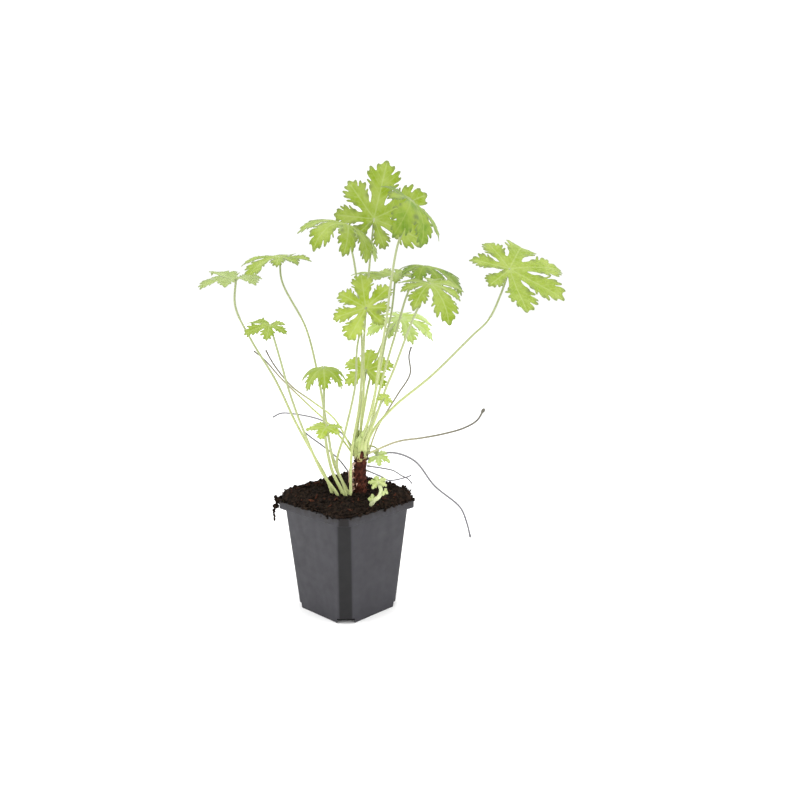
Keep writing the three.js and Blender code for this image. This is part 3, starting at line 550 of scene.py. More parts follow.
LEAF_FINISHES = {
    "leaf": LeafFinish("#A4B553", "#87A014", "#B8C67C", "#747E50", "#AEBF12"),
    # leaf_dark is painted shade: darker greens that stand in for the shade on the blades that use
    # it.
    "leaf_dark": LeafFinish("#99AD3C", "#6A8C16", "#A3B258", "#626F43", "#93B00A"),
    "leaf_pale": LeafFinish("#C6D692", "#B4C85C", "#D2DEA8", "#949E76", "#C6DA66"),
    # A brighter finish: the paler green of young leaves, and painted light on leaf_middle.
    "leaf_fresh_and_painted_light": LeafFinish("#BCCB60", "#9FB626", "#CAD68C", "#848E5C", "#BCCC24"),
}
YOUNG_FINISH = LeafFinish("#C2CC80", "#9EB44C", "#D6DDAC", "#BCC496", "#B8CA5C")
THROUGH_SHARE = 0.32  # of the light that falls on a blade and passes through it
UNDERSIDE_GREY = 0.35  # how far the underside turns to its greyer green


def leaf_tissue(name, finish, underside):
    """Soft leaf tissue with silky hairs: matt, a little see-through, with paler veins.

    The hairs give a pale sheen where the blade turns away, and the underside is greyer.
    """
    material, tree = new_material(name)
    broad = patchy(tree, linear(finish.deep), linear(finish.light), 14, 0.35, 0.68)
    colour = patchy(tree, broad, linear(finish.vein), 3, 0.4, 0.7, most=0.3)
    veins = vein_pattern(tree, 1.3 if underside else 1.0)
    faint = add_node(tree, "ShaderNodeMath", {0: veins, 1: 0.5}, operation="MULTIPLY")
    dried = add_node(tree, "ShaderNodeAttribute", attribute_name="share").outputs["Fac"]
    ends = add_node(tree, "ShaderNodeMapRange", {
        "Value": dried, "From Min": 0.1, "From Max": 1.0, "To Max": 0.85,
    })
    layers = [(faint, finish.vein), (ends, finish.tip)]
    if underside:
        layers.append((UNDERSIDE_GREY, "#B9C98F"))
    for share, over in layers:
        colour = add_node(tree, "ShaderNodeMix", {
            0: share, 6: colour, 7: linear(over),
        }, data_type="RGBA").outputs[2]
    glow = add_node(tree, "ShaderNodeMix", {
        0: 0.5, 6: colour, 7: linear(finish.through),
    }, data_type="RGBA").outputs[2]
    bump = add_node(tree, "ShaderNodeBump", {
        "Height": veins, "Strength": 0.3, "Distance": (0.16 if underside else -0.16) * MM,
    })
    surface = add_node(tree, "ShaderNodeBsdfPrincipled", {
        "Base Color": colour, "Roughness": 0.55, "IOR": 1.42, "Specular IOR Level": 0.3,
        "Normal": bump,
        "Sheen Weight": 0.22, "Sheen Roughness": 0.45, "Sheen Tint": linear("#EEF4DC"),
    })
    passing = add_node(tree, "ShaderNodeBsdfTranslucent", {"Color": glow, "Normal": bump})
    both = add_node(tree, "ShaderNodeMixShader", {0: THROUGH_SHARE, 1: surface, 2: passing})
    add_node(tree, "ShaderNodeOutputMaterial", {"Surface": both})
    return material


def stem_skin(name, stops, rough=0.5, shade="#77804F"):
    """The skin of a stalk: matt and finely streaked, with a colour that changes to its end.

    Its streaks and ribs are drawn about 1 mm wide, coarser than real ones, so that they show.
    """
    material, tree = new_material(name)
    share = add_node(tree, "ShaderNodeAttribute", attribute_name="share").outputs["Fac"]
    shift = add_node(tree, "ShaderNodeMath", {
        0: grain(tree, 9), 1: 0.2, 2: share,
    }, operation="MULTIPLY_ADD")
    base = add_node(
        tree, "ShaderNodeValToRGB", {"Fac": shift},
        stops=[(place, linear(colour)) for place, colour in stops],
    )
    colour = patchy(tree, base, linear(shade), 1.2, 0.3, 0.7, most=0.3, detail=3)
    bump = add_node(tree, "ShaderNodeBump", {
        "Height": grain(tree, 0.8), "Strength": 0.35, "Distance": 0.2 * MM,
    })
    surface = add_node(tree, "ShaderNodeBsdfPrincipled", {
        "Base Color": colour, "Roughness": rough, "IOR": 1.42, "Normal": bump,
        "Sheen Weight": 0.25, "Sheen Roughness": 0.4, "Sheen Tint": linear("#EEF0DC"),
    })
    add_node(tree, "ShaderNodeOutputMaterial", {"Surface": surface})
    return material


def crumbly_matter(name, dark, light, size_mm, rough):
    """Peat, bark or scale: matt and broken up, with lighter flecks of the size given."""
    material, tree = new_material(name)
    colour = patchy(tree, dark, light, size_mm, 0.42, 0.7, detail=5, rough=0.65)
    bump = add_node(tree, "ShaderNodeBump", {
        "Height": grain(tree, size_mm * 0.4, detail=4), "Strength": 0.7, "Distance": 0.6 * MM,
    })
    surface = add_node(tree, "ShaderNodeBsdfPrincipled", {
        "Base Color": colour, "Roughness": rough, "Specular IOR Level": 0.08, "Normal": bump,
    })
    add_node(tree, "ShaderNodeOutputMaterial", {"Surface": surface})
    return material


DUST_DEPTH = 16  # how far peat dust reaches down the pot


def moulded_polypropylene(name, colour):
    """Thin recycled polypropylene, injection moulded: matt grey sides with a fine grain.

    The cut corners are painted a darker colour, a painted shade picked by the way that they
    face. Peat dust from potting stains the lip. The mould's grain is drawn 0.7 mm wide,
    coarser than the real one, so that it shows.
    """
    material, tree = new_material(name)
    mottled = patchy(tree, colour, linear("#434248"), 22, 0.35, 0.7, most=0.22)
    normal = add_node(tree, "ShaderNodeNewGeometry").outputs["Normal"]
    east, north, _ = add_node(tree, "ShaderNodeSeparateXYZ", {"Vector": normal}).outputs
    slant = add_node(tree, "ShaderNodeMath", {0: east, 1: north}, operation="MULTIPLY")
    slant = add_node(tree, "ShaderNodeMath", {0: slant}, operation="ABSOLUTE")
    # Painted shade: faces that turn diagonally, the cut corners, are mixed towards #131214.
    corner = add_node(tree, "ShaderNodeMapRange", {
        "Value": slant, "From Min": 0.25, "From Max": 0.45,
    }, interpolation_type="SMOOTHSTEP")
    corner_shade_painted = add_node(tree, "ShaderNodeMix", {
        0: corner, 6: mottled, 7: linear("#131214"),
    }, data_type="RGBA").outputs[2]
    specked = patchy(
        tree, corner_shade_painted, linear("#1E1C1E"), 2.4, 0.62, 0.74, most=0.5, detail=6, rough=0.7,
    )
    place = add_node(tree, "ShaderNodeTexCoord").outputs["Object"]
    _, _, height = add_node(tree, "ShaderNodeSeparateXYZ", {"Vector": place}).outputs
    upward = add_node(tree, "ShaderNodeMapRange", {
        "Value": height, "From Min": (POT_HEIGHT - DUST_DEPTH) * MM,
        "From Max": POT_HEIGHT * MM, "To Min": -0.3, "To Max": 0.32,
    })
    dusty = add_node(tree, "ShaderNodeMath", {
        0: upward, 1: grain(tree, 5, detail=5, rough=0.65),
    }, operation="ADD")
    stain = add_node(tree, "ShaderNodeMapRange", {
        "Value": dusty, "From Min": 0.55, "From Max": 0.85, "To Max": 0.8,
    })
    stained = add_node(tree, "ShaderNodeMix", {
        0: stain, 6: specked, 7: linear("#17120F"),
    }, data_type="RGBA").outputs[2]
    roughness = add_node(tree, "ShaderNodeMapRange", {
        "Value": grain(tree, 7), "From Min": 0.3, "From Max": 0.7, "To Min": 0.46, "To Max": 0.6,
    })
    bump = add_node(tree, "ShaderNodeBump", {
        "Height": grain(tree, 0.7, detail=2), "Strength": 0.25, "Distance": 0.08 * MM,
    })
    surface = add_node(tree, "ShaderNodeBsdfPrincipled", {
        "Base Color": stained, "Roughness": roughness, "IOR": 1.49, "Specular IOR Level": 0.3,
        "Normal": bump,
    })
    add_node(tree, "ShaderNodeOutputMaterial", {"Surface": surface})
    return material


# ---------------------------------------------------------------- stalks

CURVE_PARTS = 24  # parts of the curve between two points of a route
FOOT_LENGTH = 13  # millimetres over which a stalk's base thins to its plain width
END_SWELL = 0.25  # how much thicker a stalk is at both its ends
END_LENGTH = 2.5  # millimetres over which it swells


def smooth_route(points, step):
    """Evenly spaced points along the curve through a route, and each one's share of it.

    The curve is the centripetal one that the solids' stalks follow.
    """
    knots = [np.array(point, float) for point in points]
    knots = [2 * knots[0] - knots[1], *knots, 2 * knots[-1] - knots[-2]]
    dense = []
    for a, b, c, d in zip(knots, knots[1:], knots[2:], knots[3:]):
        gaps = [math.sqrt(np.linalg.norm(q - p)) for p, q in ((a, b), (b, c), (c, d))]
        start = (b - a) / gaps[0] - (c - a) / (gaps[0] + gaps[1]) + (c - b) / gaps[1]
        finish = (c - b) / gaps[1] - (d - b) / (gaps[1] + gaps[2]) + (d - c) / gaps[2]
        t = np.linspace(0, 1, CURVE_PARTS, endpoint=False)[:, None]
        dense.append(
            (2 * t**3 - 3 * t**2 + 1) * b + (t**3 - 2 * t**2 + t) * gaps[1] * start
            + (3 * t**2 - 2 * t**3) * c + (t**3 - t**2) * gaps[1] * finish
        )
    dense = np.vstack([*dense, knots[-2]])
    travelled = np.concatenate([[0], np.cumsum(np.linalg.norm(np.diff(dense, axis=0), axis=1))])
    count = max(3, round(travelled[-1] / step)) + 1
    stations = np.linspace(0, travelled[-1], count)
    line = np.stack([np.interp(stations, travelled, dense[:, i]) for i in range(3)], axis=1)
    return line, stations / travelled[-1]


def loft(rings):
    """Points and faces of a closed solid through rings with equal numbers of points."""
    count = len(rings[0])
    faces = [
        (k * count + i, k * count + (i + 1) % count, (k + 1) * count + (i + 1) % count,
         (k + 1) * count + i)
        for k in range(len(rings) - 1) for i in range(count)
    ]
    last = (len(rings) - 1) * count
    faces += [tuple(reversed(range(count))), tuple(range(last, last + count))]
    return np.vstack(rings), faces


FIRST_SIDE = (0.3, -1, 0.2)  # a tube's first point stands about this way from its line


def tube(line, radii, sides):
    """Points and faces of a closed round tube along a line."""
    side = np.array(FIRST_SIDE, float)
    turns = [2 * math.pi * number / sides for number in range(sides)]
    rings = []
    for centre, way, radius in zip(line, np.gradient(line, axis=0), radii):
        heading = unit(way)
        side = unit(side - side.dot(heading) * heading)
        other = np.cross(heading, side)
        rings.append([
            centre + radius * (math.cos(turn) * side + math.sin(turn) * other) for turn in turns
        ])
    return loft(rings)


def add_stem(shape, route, radii, slot, step, sides, foot=0.0):
    """Adds a stalk that tapers from root to end, a little swollen at both.

    foot is how much thicker its sheathing base is.
    """
    line, share = smooth_route(route, step)
    length = np.linalg.norm(np.diff(line, axis=0), axis=1).sum()
    taper = radii[0] + (radii[1] - radii[0]) * share
    near_end = np.minimum(share, 1 - share) * length
    radius = taper * (1 + END_SWELL * np.exp(-near_end / END_LENGTH))
    radius *= 1 + foot * np.exp(-((share * length / FOOT_LENGTH) ** 2))
    points, faces = tube(line, radius, sides)
    shape.add(to_row(points), faces, slot, share=np.repeat(share, sides))


# ---------------------------------------------------------------- blades

UPPER_FACE, UNDERSIDE, STALK_SKIN = 0, 1, 2  # the finishes of a leaf, in their order
RIB_REACH = 0.94  # how far along its lobe a mid vein has points of its own
GRID_REACH = 1.1  # how far out the net's inner points go, in radii
NET_TOLERANCE, LEAST_AREA = 1e-5, 1e-7  # below them points and triangles are dropped
RIB_EDGE_ROOM, EDGE_ROOM, RIB_ROOM = 0.3, 0.55, 0.6  # least distances in the net, in spacings
RIPPLES = (1.9, 2.3, 3.7)  # millimetres to one radian of each of a blade's small waves
TIP_START = 0.75  # share of a lobe from which its tip droops
TIP_DROOP = 0.04  # how far it droops, as a share of the blade's radius
DRY_TOOTH = 0.055  # size of a tooth's dried end, as a share of the blade's radius
DRY_EDGE = 0.6  # width in millimetres of the drier edge
DRY_EDGE_SHARE = 0.35  # how dry the edge is, next to the end of a tooth
VEIN_HEIGHT = 0.022  # of the mid veins under a blade, for a radius of 1
VEIN_HALF_WIDTH = 0.6


def half_lobe(leaf):
    """The toothed edge of half a lobe, from the gap beside it up to its tip."""
    if leaf.radius >= LARGE_BLADE:
        teeth = LARGE_EDGE
    else:
        teeth = SMALL_EDGE if leaf.radius > TINY_BLADE else TINY_EDGE
    shallow = [(max(along, leaf.gap + TOOTH_RISE), across) for along, across in teeth]
    return [(leaf.gap, 1), *shallow]


def blade_lobes(leaf, stream):
    """The length, as a share of the radius, and the angle of each lobe."""
    side = leaf.lobes // 2
    step = math.radians(LOBE_STEP[leaf.lobes])
    lobes = []
    for k in range(-side, side + 1):
        length = leaf.lengths[k + 3] * (1 + LENGTH_CHANGE * (next(stream) - 0.5))
        lobes.append((length, step * (k + ANGLE_CHANGE * (next(stream) - 0.5))))
    return lobes, step


def blade_corners(leaf, lobes, step, rng):
    """The corners of the flat blade's edge, anticlockwise from the stalk."""
    half = half_lobe(leaf)
    corners = [(0.0, 0.0)]
    for number, (length, angle) in enumerate(lobes):
        right = [(along, -across) for along, across in half]
        left = [(along, across) for along, across in reversed(half)]
        for along, across in [*right[number > 0:], (1, 0), *left]:
            stray = rng.uniform(-1, 1, 2) * TOOTH_CHANGE * (abs(across) < 1)
            turn = angle + (across + stray[1]) * step / 2
            reach = (along + stray[0]) * length * leaf.radius
            corners.append((reach * math.cos(turn), reach * math.sin(turn)))
    return np.array(corners)


def rounded_edge(corners, spacing):
    """The edge with its teeth and notches rounded, and the ends of the teeth."""
    points, ends = [corners[0]], []
    far, near = TOOTH_SHOULDERS
    for before, corner, after in zip(corners, corners[1:], [*corners[2:], corners[0]]):
        inward, outward = corner - before, after - corner
        if inward[0] * outward[1] - inward[1] * outward[0] <= 0:
            points += [
                corner - NOTCH_ROUNDING * inward,
                corner - NOTCH_FLAT * inward + NOTCH_FLAT * outward,
                corner + NOTCH_ROUNDING * outward,
            ]
            continue
        bulge_in = TOOTH_SWELL * np.array((inward[1], -inward[0]))
        bulge_out = TOOTH_SWELL * np.array((outward[1], -outward[0]))
        end = corner + TOOTH_BLUNTING * (outward - inward)
        points += [
            corner - far * inward + bulge_in, corner - near * inward + bulge_in, end,
            corner + near * outward + bulge_out, corner + far * outward + bulge_out,
        ]
        ends.append(end)
    edge = []
    for here, there in zip(points, [*points[1:], points[0]]):
        parts = max(1, round(np.linalg.norm(there - here) / spacing))
        edge += [here + (there - here) * k / parts for k in range(parts)]
    return np.array(edge), np.array(ends)


def inside(points, edge):
    """Which of the points lie inside a closed edge."""
    x, y = points[:, 0, None], points[:, 1, None]
    x0, y0 = edge[:, 0], edge[:, 1]
    x1, y1 = np.roll(x0, -1), np.roll(y0, -1)
    crosses = (y0 > y) != (y1 > y)
    level = np.where(y1 == y0, 1e-9, y1 - y0)
    hits = crosses & (x < (x1 - x0) * (y - y0) / level + x0)
    return hits.sum(axis=1) % 2 == 1


def distance_to(others, points):
    """How far each point lies from the nearest of the others."""
    return np.linalg.norm(points[:, None] - others[None], axis=2).min(axis=1)


def clear_of(points, others, gap):
    """The points that lie at least a gap away from all the others."""
    return points[distance_to(others, points) > gap]


def blade_net(edge, lobes, radius, spacing):
    """A flat net of triangles that fills the edge, with a line of points on each mid vein."""
    reach = np.arange(spacing, radius, spacing)
    ribs = np.vstack([
        np.outer(reach[reach < RIB_REACH * length * radius], (math.cos(angle), math.sin(angle)))
        for length, angle in lobes
    ])
    wide = GRID_REACH * radius
    rows = np.arange(-wide, wide, spacing * math.sqrt(3) / 2)
    columns = np.arange(-wide, wide, spacing)
    grid = np.array([
        (x + spacing / 2 * (number % 2), y) for number, y in enumerate(rows) for x in columns
    ])
    ribs = clear_of(ribs[inside(ribs, edge)], edge, RIB_EDGE_ROOM * spacing)
    grid = clear_of(grid[inside(grid, edge)], edge, EDGE_ROOM * spacing)
    flat = np.vstack([edge, ribs, clear_of(grid, ribs, RIB_ROOM * spacing)])
    rim = list(range(len(edge)))
    points = [Vector(point) for point in flat.tolist()]
    net = delaunay_2d_cdt(points, [], [rim], 1, NET_TOLERANCE)
    places, triangles = np.array([tuple(point) for point in net[0]]), np.array(net[2])
    a, b, c = (places[triangles[:, i]] for i in range(3))
    area = (b - a)[:, 0] * (c - a)[:, 1] - (b - a)[:, 1] * (c - a)[:, 0]
    triangles[area < 0] = triangles[area < 0][:, ::-1]
    return places, triangles[np.abs(area) > LEAST_AREA]


def blade_surface(leaf, places, lobes, ripple):
    """Bends flat places over the stalk's end.

    It gives the bent points, their flat map, their share of their lobe's length, and how far
    they lie from its mid vein.
    """
    x, y = places[:, 0], places[:, 1]
    distance, angle = np.linalg.norm(places, axis=1), np.arctan2(y, x)
    turns = angle[:, None] - np.array([turn for _, turn in lobes])
    nearest = np.abs(turns).argmin(axis=1)
    turn = turns[np.arange(len(places)), nearest]
    offset = distance * np.abs(np.sin(turn))
    bend = (leaf.cup + leaf.lean * np.cos(angle - leaf.lean_to)) * distance / leaf.radius
    bend = np.where(np.abs(bend) < 1e-6, 1e-6, bend)
    reach = distance * np.sin(bend) / bend
    drop = distance * (1 - np.cos(bend)) / bend
    out = distance / leaf.radius
    height = -drop + leaf.fold * offset
    height += leaf.wave * distance * out * np.sin(3 * angle + leaf.radius)
    first, second, slanting = RIPPLES
    ripples = np.sin(x / first + leaf.radius) * np.cos(y / second) + np.sin((x + y) / slanting)
    height += ripple * out * ripples
    share = distance / (np.array([length for length, _ in lobes])[nearest] * leaf.radius)
    tip = np.clip((share - TIP_START) / (1 - TIP_START), 0, 1.2)
    height -= TIP_DROOP * leaf.radius * tip ** 2
    surface = np.stack([reach * np.cos(angle), reach * np.sin(angle), height], axis=1)
    plan = np.stack([distance * np.cos(turn), offset], axis=1) / VEIN_UNIT
    return surface, plan, share, offset


def blade_basis(leaf):
    """Axes of a blade whose upper face looks along facing and whose middle lobe heads away."""
    up = unit(leaf.facing)
    along = np.array(leaf.heading, float)
    along = unit(along - along.dot(up) * up)
    return np.stack([along, np.cross(up, along), up])


def nearness(points, others, size):
    """How near each point is to the nearest of the others: 1 on it, 0 well beyond the size."""
    return np.exp(-((distance_to(others, points) / size) ** 2))


def face_ways(points, triangles):
    """The way that the surface faces at each of its points, at length 1."""
    a, b, c = (points[triangles[:, corner]] for corner in range(3))
    across = np.cross(b - a, c - a)
    ways = np.zeros_like(points)
    for corner in range(3):
        np.add.at(ways, triangles[:, corner], across)
    return ways / (np.linalg.norm(ways, axis=1)[:, None] + 1e-12)


def add_blade(shape, leaf, stream, thickness, spacing, ripple):
    """Adds a blade: its upper face, its underside with raised mid veins, and its thin edge."""
    lobes, step = blade_lobes(leaf, stream)
    rng = np.random.default_rng(round(10 * leaf.radius + 100 * abs(leaf.heading[0])))
    edge, teeth = rounded_edge(blade_corners(leaf, lobes, step, rng), spacing)
    places, triangles = blade_net(edge, lobes, leaf.radius, spacing)
    middle, plan, share, offset = blade_surface(leaf, places, lobes, ripple)
    dried = np.maximum(
        nearness(places, teeth, DRY_TOOTH * leaf.radius),
        DRY_EDGE_SHARE * nearness(places, edge, DRY_EDGE),
    )
    ways = face_ways(middle, triangles)
    vein = np.exp(-((offset / VEIN_HALF_WIDTH) ** 2)) * np.clip(1 - share, 0, 1)
    vein *= VEIN_HEIGHT * leaf.radius ** 0.8
    top = middle + ways * thickness / 2
    under = middle - ways * (thickness / 2 + vein)[:, None]
    sides = triangles[:, [0, 1, 1, 2, 2, 0]].reshape(-1, 2)
    _, first, uses = np.unique(
        np.sort(sides, axis=1), axis=0, return_index=True, return_counts=True,
    )
    rim, count, base = sides[first[uses == 1]], len(middle), shape.count
    place = to_row(np.vstack([top, under]) @ blade_basis(leaf) + np.array(leaf.route[-1], float))
    shape.add(
        place, triangles.tolist(), UPPER_FACE, np.vstack([plan, plan]),
        np.concatenate([dried, dried]), creases=np.vstack([rim, rim + count]).tolist(),
    )
    below = [tuple(corners) for corners in (triangles[:, [0, 2, 1]] + base + count).tolist()]
    a, b = rim.T + base
    band = [tuple(corners) for corners in np.stack([b, a, a + count, b + count], 1).tolist()]
    shape.faces += below + band
    shape.slots += [UNDERSIDE] * (len(below) + len(band))


BEAD_SIDES = 10
HUB = ((-1.6, 0.45), (-1.1, 0.8), (-0.5, 1), (0, 0.95), (0.35, 0.7), (0.6, 0.3))
KNOB = ((-2.2, 0.35), (-1.6, 0.6), (-0.8, 0.95), (0, 1), (0.7, 0.7), (1.1, 0.25))


def add_bead(shape, centre, way, radius, profile, slot):
    """Adds a small swelling. Its profile gives places along it and radii, in its own radii."""
    line = np.array([centre + way * radius * place for place, _ in profile])
    points, faces = tube(line, [radius * share for _, share in profile], BEAD_SIDES)
    shape.add(to_row(points), faces, slot, share=np.ones(len(points)))


# ---------------------------------------------------------------- the pot


def cut_square(half, cut, rounding):
    """Points round a square with cut corners whose edges are rounded, anticlockwise."""
    corners = []
    for quarter in range(4):
        cos, sin = math.cos(quarter * math.pi / 2), math.sin(quarter * math.pi / 2)
        for x, y in ((half, cut - half), (half, half - cut)):
            corners.append(np.array((x * cos - y * sin, x * sin + y * cos)))
    ring = []
    for i, corner in enumerate(corners):
        before, after = corners[i - 1], corners[(i + 1) % 8]
        start = corner + rounding * unit(before - corner)
        end = corner + rounding * unit(after - corner)
        for t in (0, 0.25, 0.5, 0.75, 1):
            ring.append((1 - t) ** 2 * start + 2 * t * (1 - t) * corner + t**2 * end)
    return np.array(ring)


def level_ring(height, half, cut):
    """A ring of the pot at a height."""
    flat = cut_square(half, cut, min(CORNER_ROUNDING, 0.45 * cut))
    return np.column_stack([flat, np.full(len(flat), height)])


def body_half(height):
    """Half the width of the pot's tapered body at a height."""
    return (BODY_BASE_SIDE + (BODY_TOP_SIDE - BODY_BASE_SIDE) * height / POT_HEIGHT) / 2


def inner_cut(cut, inset):
    """Leg of a corner's cut where the sides are moved in."""
    return cut - inset * (2 - math.sqrt(2))


def body_ring(height, inset):
    """A ring of the pot's tapered body, moved in from its outside."""
    cut = CORNER_CUT_BASE + (CORNER_CUT_TOP - CORNER_CUT_BASE) * height / POT_HEIGHT
    return level_ring(height, body_half(height) - inset, inner_cut(cut, inset))


def solid_object(name, parts):
    """An object of closed parts, each given as points in millimetres and faces."""
    shape = Shape()
    for points, faces in parts:
        shape.add(np.array(points) * MM, faces)
    return shape.build(name, [], smooth=False)


def prism(flat, reach):
    """A block over a flat outline, as far below the ground as above it."""
    return loft([np.column_stack([flat, np.full(len(flat), z)]) for z in (-reach, reach)])


def foot_notches(grow):
    """The blocks that cut a drainage notch under each corner."""
    face_distance = (BODY_BASE_SIDE - CORNER_CUT_BASE) / math.sqrt(2)
    deep = FOOT_NOTCH_DEPTH + grow
    wide = CORNER_CUT_BASE / math.sqrt(2) + FOOT_NOTCH_SPREAD + grow
    high = FOOT_NOTCH_HEIGHT + grow
    parts = []
    for corner in range(4):
        angle = math.pi / 4 + corner * math.pi / 2
        out = np.array((math.cos(angle), math.sin(angle)))
        side = np.array((-out[1], out[0]))
        flat = [(face_distance + a * deep) * out + b * wide * side
                for a, b in ((-1, -1), (1, -1), (1, 1), (-1, 1))]
        parts.append(prism(flat, high))
    return parts


def drain_holes(floor):
    """The round cores that pierce the pot's floor."""
    turns = np.arange(DRAIN_SIDES) * 2 * math.pi / DRAIN_SIDES
    parts = []
    for number in range(4):
        angle = number * math.pi / 2
        parts.append(prism(np.column_stack([
            DRAIN_REACH * math.cos(angle) + DRAIN_RADIUS * np.cos(turns),
            DRAIN_REACH * math.sin(angle) + DRAIN_RADIUS * np.sin(turns),
        ]), 2 * floor))
    return parts


def carve(piece, tool):
    """Cuts the tool's solid out of the piece and takes the tool away."""
    cut = piece.modifiers.new("carve", "BOOLEAN")
    cut.operation, cut.solver, cut.object = "DIFFERENCE", "EXACT", tool
    view = bpy.context.evaluated_depsgraph_get()
    carved = bpy.data.meshes.new_from_object(piece.evaluated_get(view))
    piece.modifiers.clear()
    spare, piece.data = piece.data, carved
    for mesh in (spare, tool.data):
        bpy.data.meshes.remove(mesh)


def pot_rings(wall, skirt):
    """The pot's outside from its underside up, round its lip."""
    rim = RIM_SIDE / 2
    lip_foot, under_rim = POT_HEIGHT - skirt, POT_HEIGHT - wall
    lip_cut = inner_cut(CORNER_CUT_RIM, wall)
    return [
        body_ring(0, 0.5), body_ring(0.2, 0.15), body_ring(0.6, 0), body_ring(under_rim - 0.7, 0),
        level_ring(under_rim, BODY_TOP_SIDE / 2 + 0.2, CORNER_CUT_TOP),
        level_ring(under_rim, rim - wall, lip_cut),
        level_ring(lip_foot + 0.2, rim - wall, lip_cut),
        level_ring(lip_foot, rim - wall + 0.2, lip_cut),
        level_ring(lip_foot, rim - 0.25, CORNER_CUT_RIM),
        level_ring(lip_foot + 0.25, rim, CORNER_CUT_RIM),
        level_ring(POT_HEIGHT - 0.9, rim, CORNER_CUT_RIM),
        level_ring(POT_HEIGHT - 0.35, rim - 0.2, CORNER_CUT_RIM),
        level_ring(POT_HEIGHT, rim - 0.85, CORNER_CUT_RIM),
    ]


class PotSettings(bpy.types.PropertyGroup):
    """Sizes and colour of the pot."""

    wall: FloatProperty(
        name="Wall", description="Thickness of the sides and of the lip",
        default=1.1 * MM, min=0.4 * MM, max=3 * MM, unit="LENGTH",
    )
    floor: FloatProperty(
        name="Floor", description="Thickness of the floor",
        default=1.6 * MM, min=0.5 * MM, max=4 * MM, unit="LENGTH",
    )
    skirt: FloatProperty(
        name="Lip height", description="Height of the turned-down lip",
        default=RIM_SKIRT * MM, min=3 * MM, max=15 * MM, unit="LENGTH",
    )
    colour: FloatVectorProperty(
        name="Colour", description="Colour of the plastic",
        default=linear("#2B2A2F"), size=4, min=0, max=1, subtype="COLOR",
    )


class GERANIUM_OT_pot(bpy.types.Operator):
    """Build the square pot with its turned-down lip, notched foot and drain holes"""

    bl_idname = "geranium.pot"
    bl_label = "Pot"

    def execute(self, context):
        """Lofts the outside, then cuts out the hollow, the notches and the holes."""
        sizes = context.scene.geranium_pot
        wall, floor, skirt = (value / MM for value in (sizes.wall, sizes.floor, sizes.skirt))
        pot = solid_object("pot_moulded", [loft(pot_rings(wall, skirt))])
        hollow = solid_object("hollow", [loft([
            body_ring(floor, wall + INNER_FILLET), body_ring(floor + INNER_FILLET, wall),
            body_ring(POT_HEIGHT - 0.5, wall),
            level_ring(POT_HEIGHT + 1, BODY_TOP_SIDE / 2 - wall + INNER_FILLET, CORNER_CUT_TOP),
        ])])
        carve(hollow, solid_object("inner_notches", foot_notches(wall)))
        for tool in (
            hollow, solid_object("notches", foot_notches(0)),
            solid_object("drains", drain_holes(floor)),
        ):
            carve(pot, tool)
        pot.data.materials.append(moulded_polypropylene("pot_polypropylene", sizes.colour))
        pot.data.shade_smooth()
        pot.data.set_sharp_from_angle(angle=SHARP_ANGLE)
        settle(pot, "pot_plastic", "pot")
        return {"FINISHED"}


# ---------------------------------------------------------------- the soil

PEAT, BARK = 0, 1  # the finishes of the soil, in their order
SOIL_SECTORS, SOIL_RINGS = 216, 58
EDGE_DROP = 2.2  # how much lower the open soil lies at its very edge
SOIL_WALL = 1.4  # from the pot's outside to the soil
SOIL_FLOOR = 1.9  # from the ground to the soil
SOIL_FOOT_INSET = 9.5  # keeps the foot of the soil off the notches
BANK_RINGS = ((0.975, 0.3), (1.0, 0.9), (1.005, 2.2))  # share of the lip, height above it
BANK_LIMIT = 1.008  # how far a bump of the bank may reach out, as a share of its place
BANK_WOBBLE, WOBBLE_SIZE = 1.4, 4  # how far its edge winds in and out, and over what length
BANK_ROUGHNESS, ROUGHNESS_SIZE = 0.8, 1.6
BANK_SHARES = (0.93, 1.0)  # where lumps lie on the bank, as shares of the way out
LUMPS = ((7, 3.1, 1.5), (3, 7.7, 1.0), (1.3, 1.9, 0.6))  # size, level of the noise, height
HEAP_DEPTH = 22  # how far in front of the middle the heaped bank ends
CRUMB_KINDS = 12  # different lumps on the soil
STRAND_KINDS = 6


def cut_square_reach(half, cut, angle):
    """Distance from the middle to the side of a cut square, in one direction."""
    across, along = abs(math.cos(angle)), abs(math.sin(angle))
    return min(
        half / max(across, 1e-9), half / max(along, 1e-9), (2 * half - cut) / (across + along)
    )


def soil_height(x, y, share):
    """Height of the soil where it lies open, without its crumbs."""
    backward = (x + y) * math.sqrt(0.5)
    heap = min(1.0, max(0.0, 1 + backward / HEAP_DEPTH)) * min(1.0, share / 0.9) ** 4
    rise = SOIL_SLOPE * backward + SOIL_BANK * heap
    return POT_HEIGHT + SOIL_EDGE + SOIL_CROWN * (1 - share**6) + rise


def soil_lumps(x, y):
    """How much the soil's surface rises and falls there."""
    return sum(
        height * noise.noise(Vector((x / size, y / size, level))) for size, level, height in LUMPS
    )


def rough_height(x, y, share):
    """Height of the open soil with its lumps, a little lower at its very edge."""
    return soil_height(x, y, share) - EDGE_DROP * share**8 + soil_lumps(x, y)


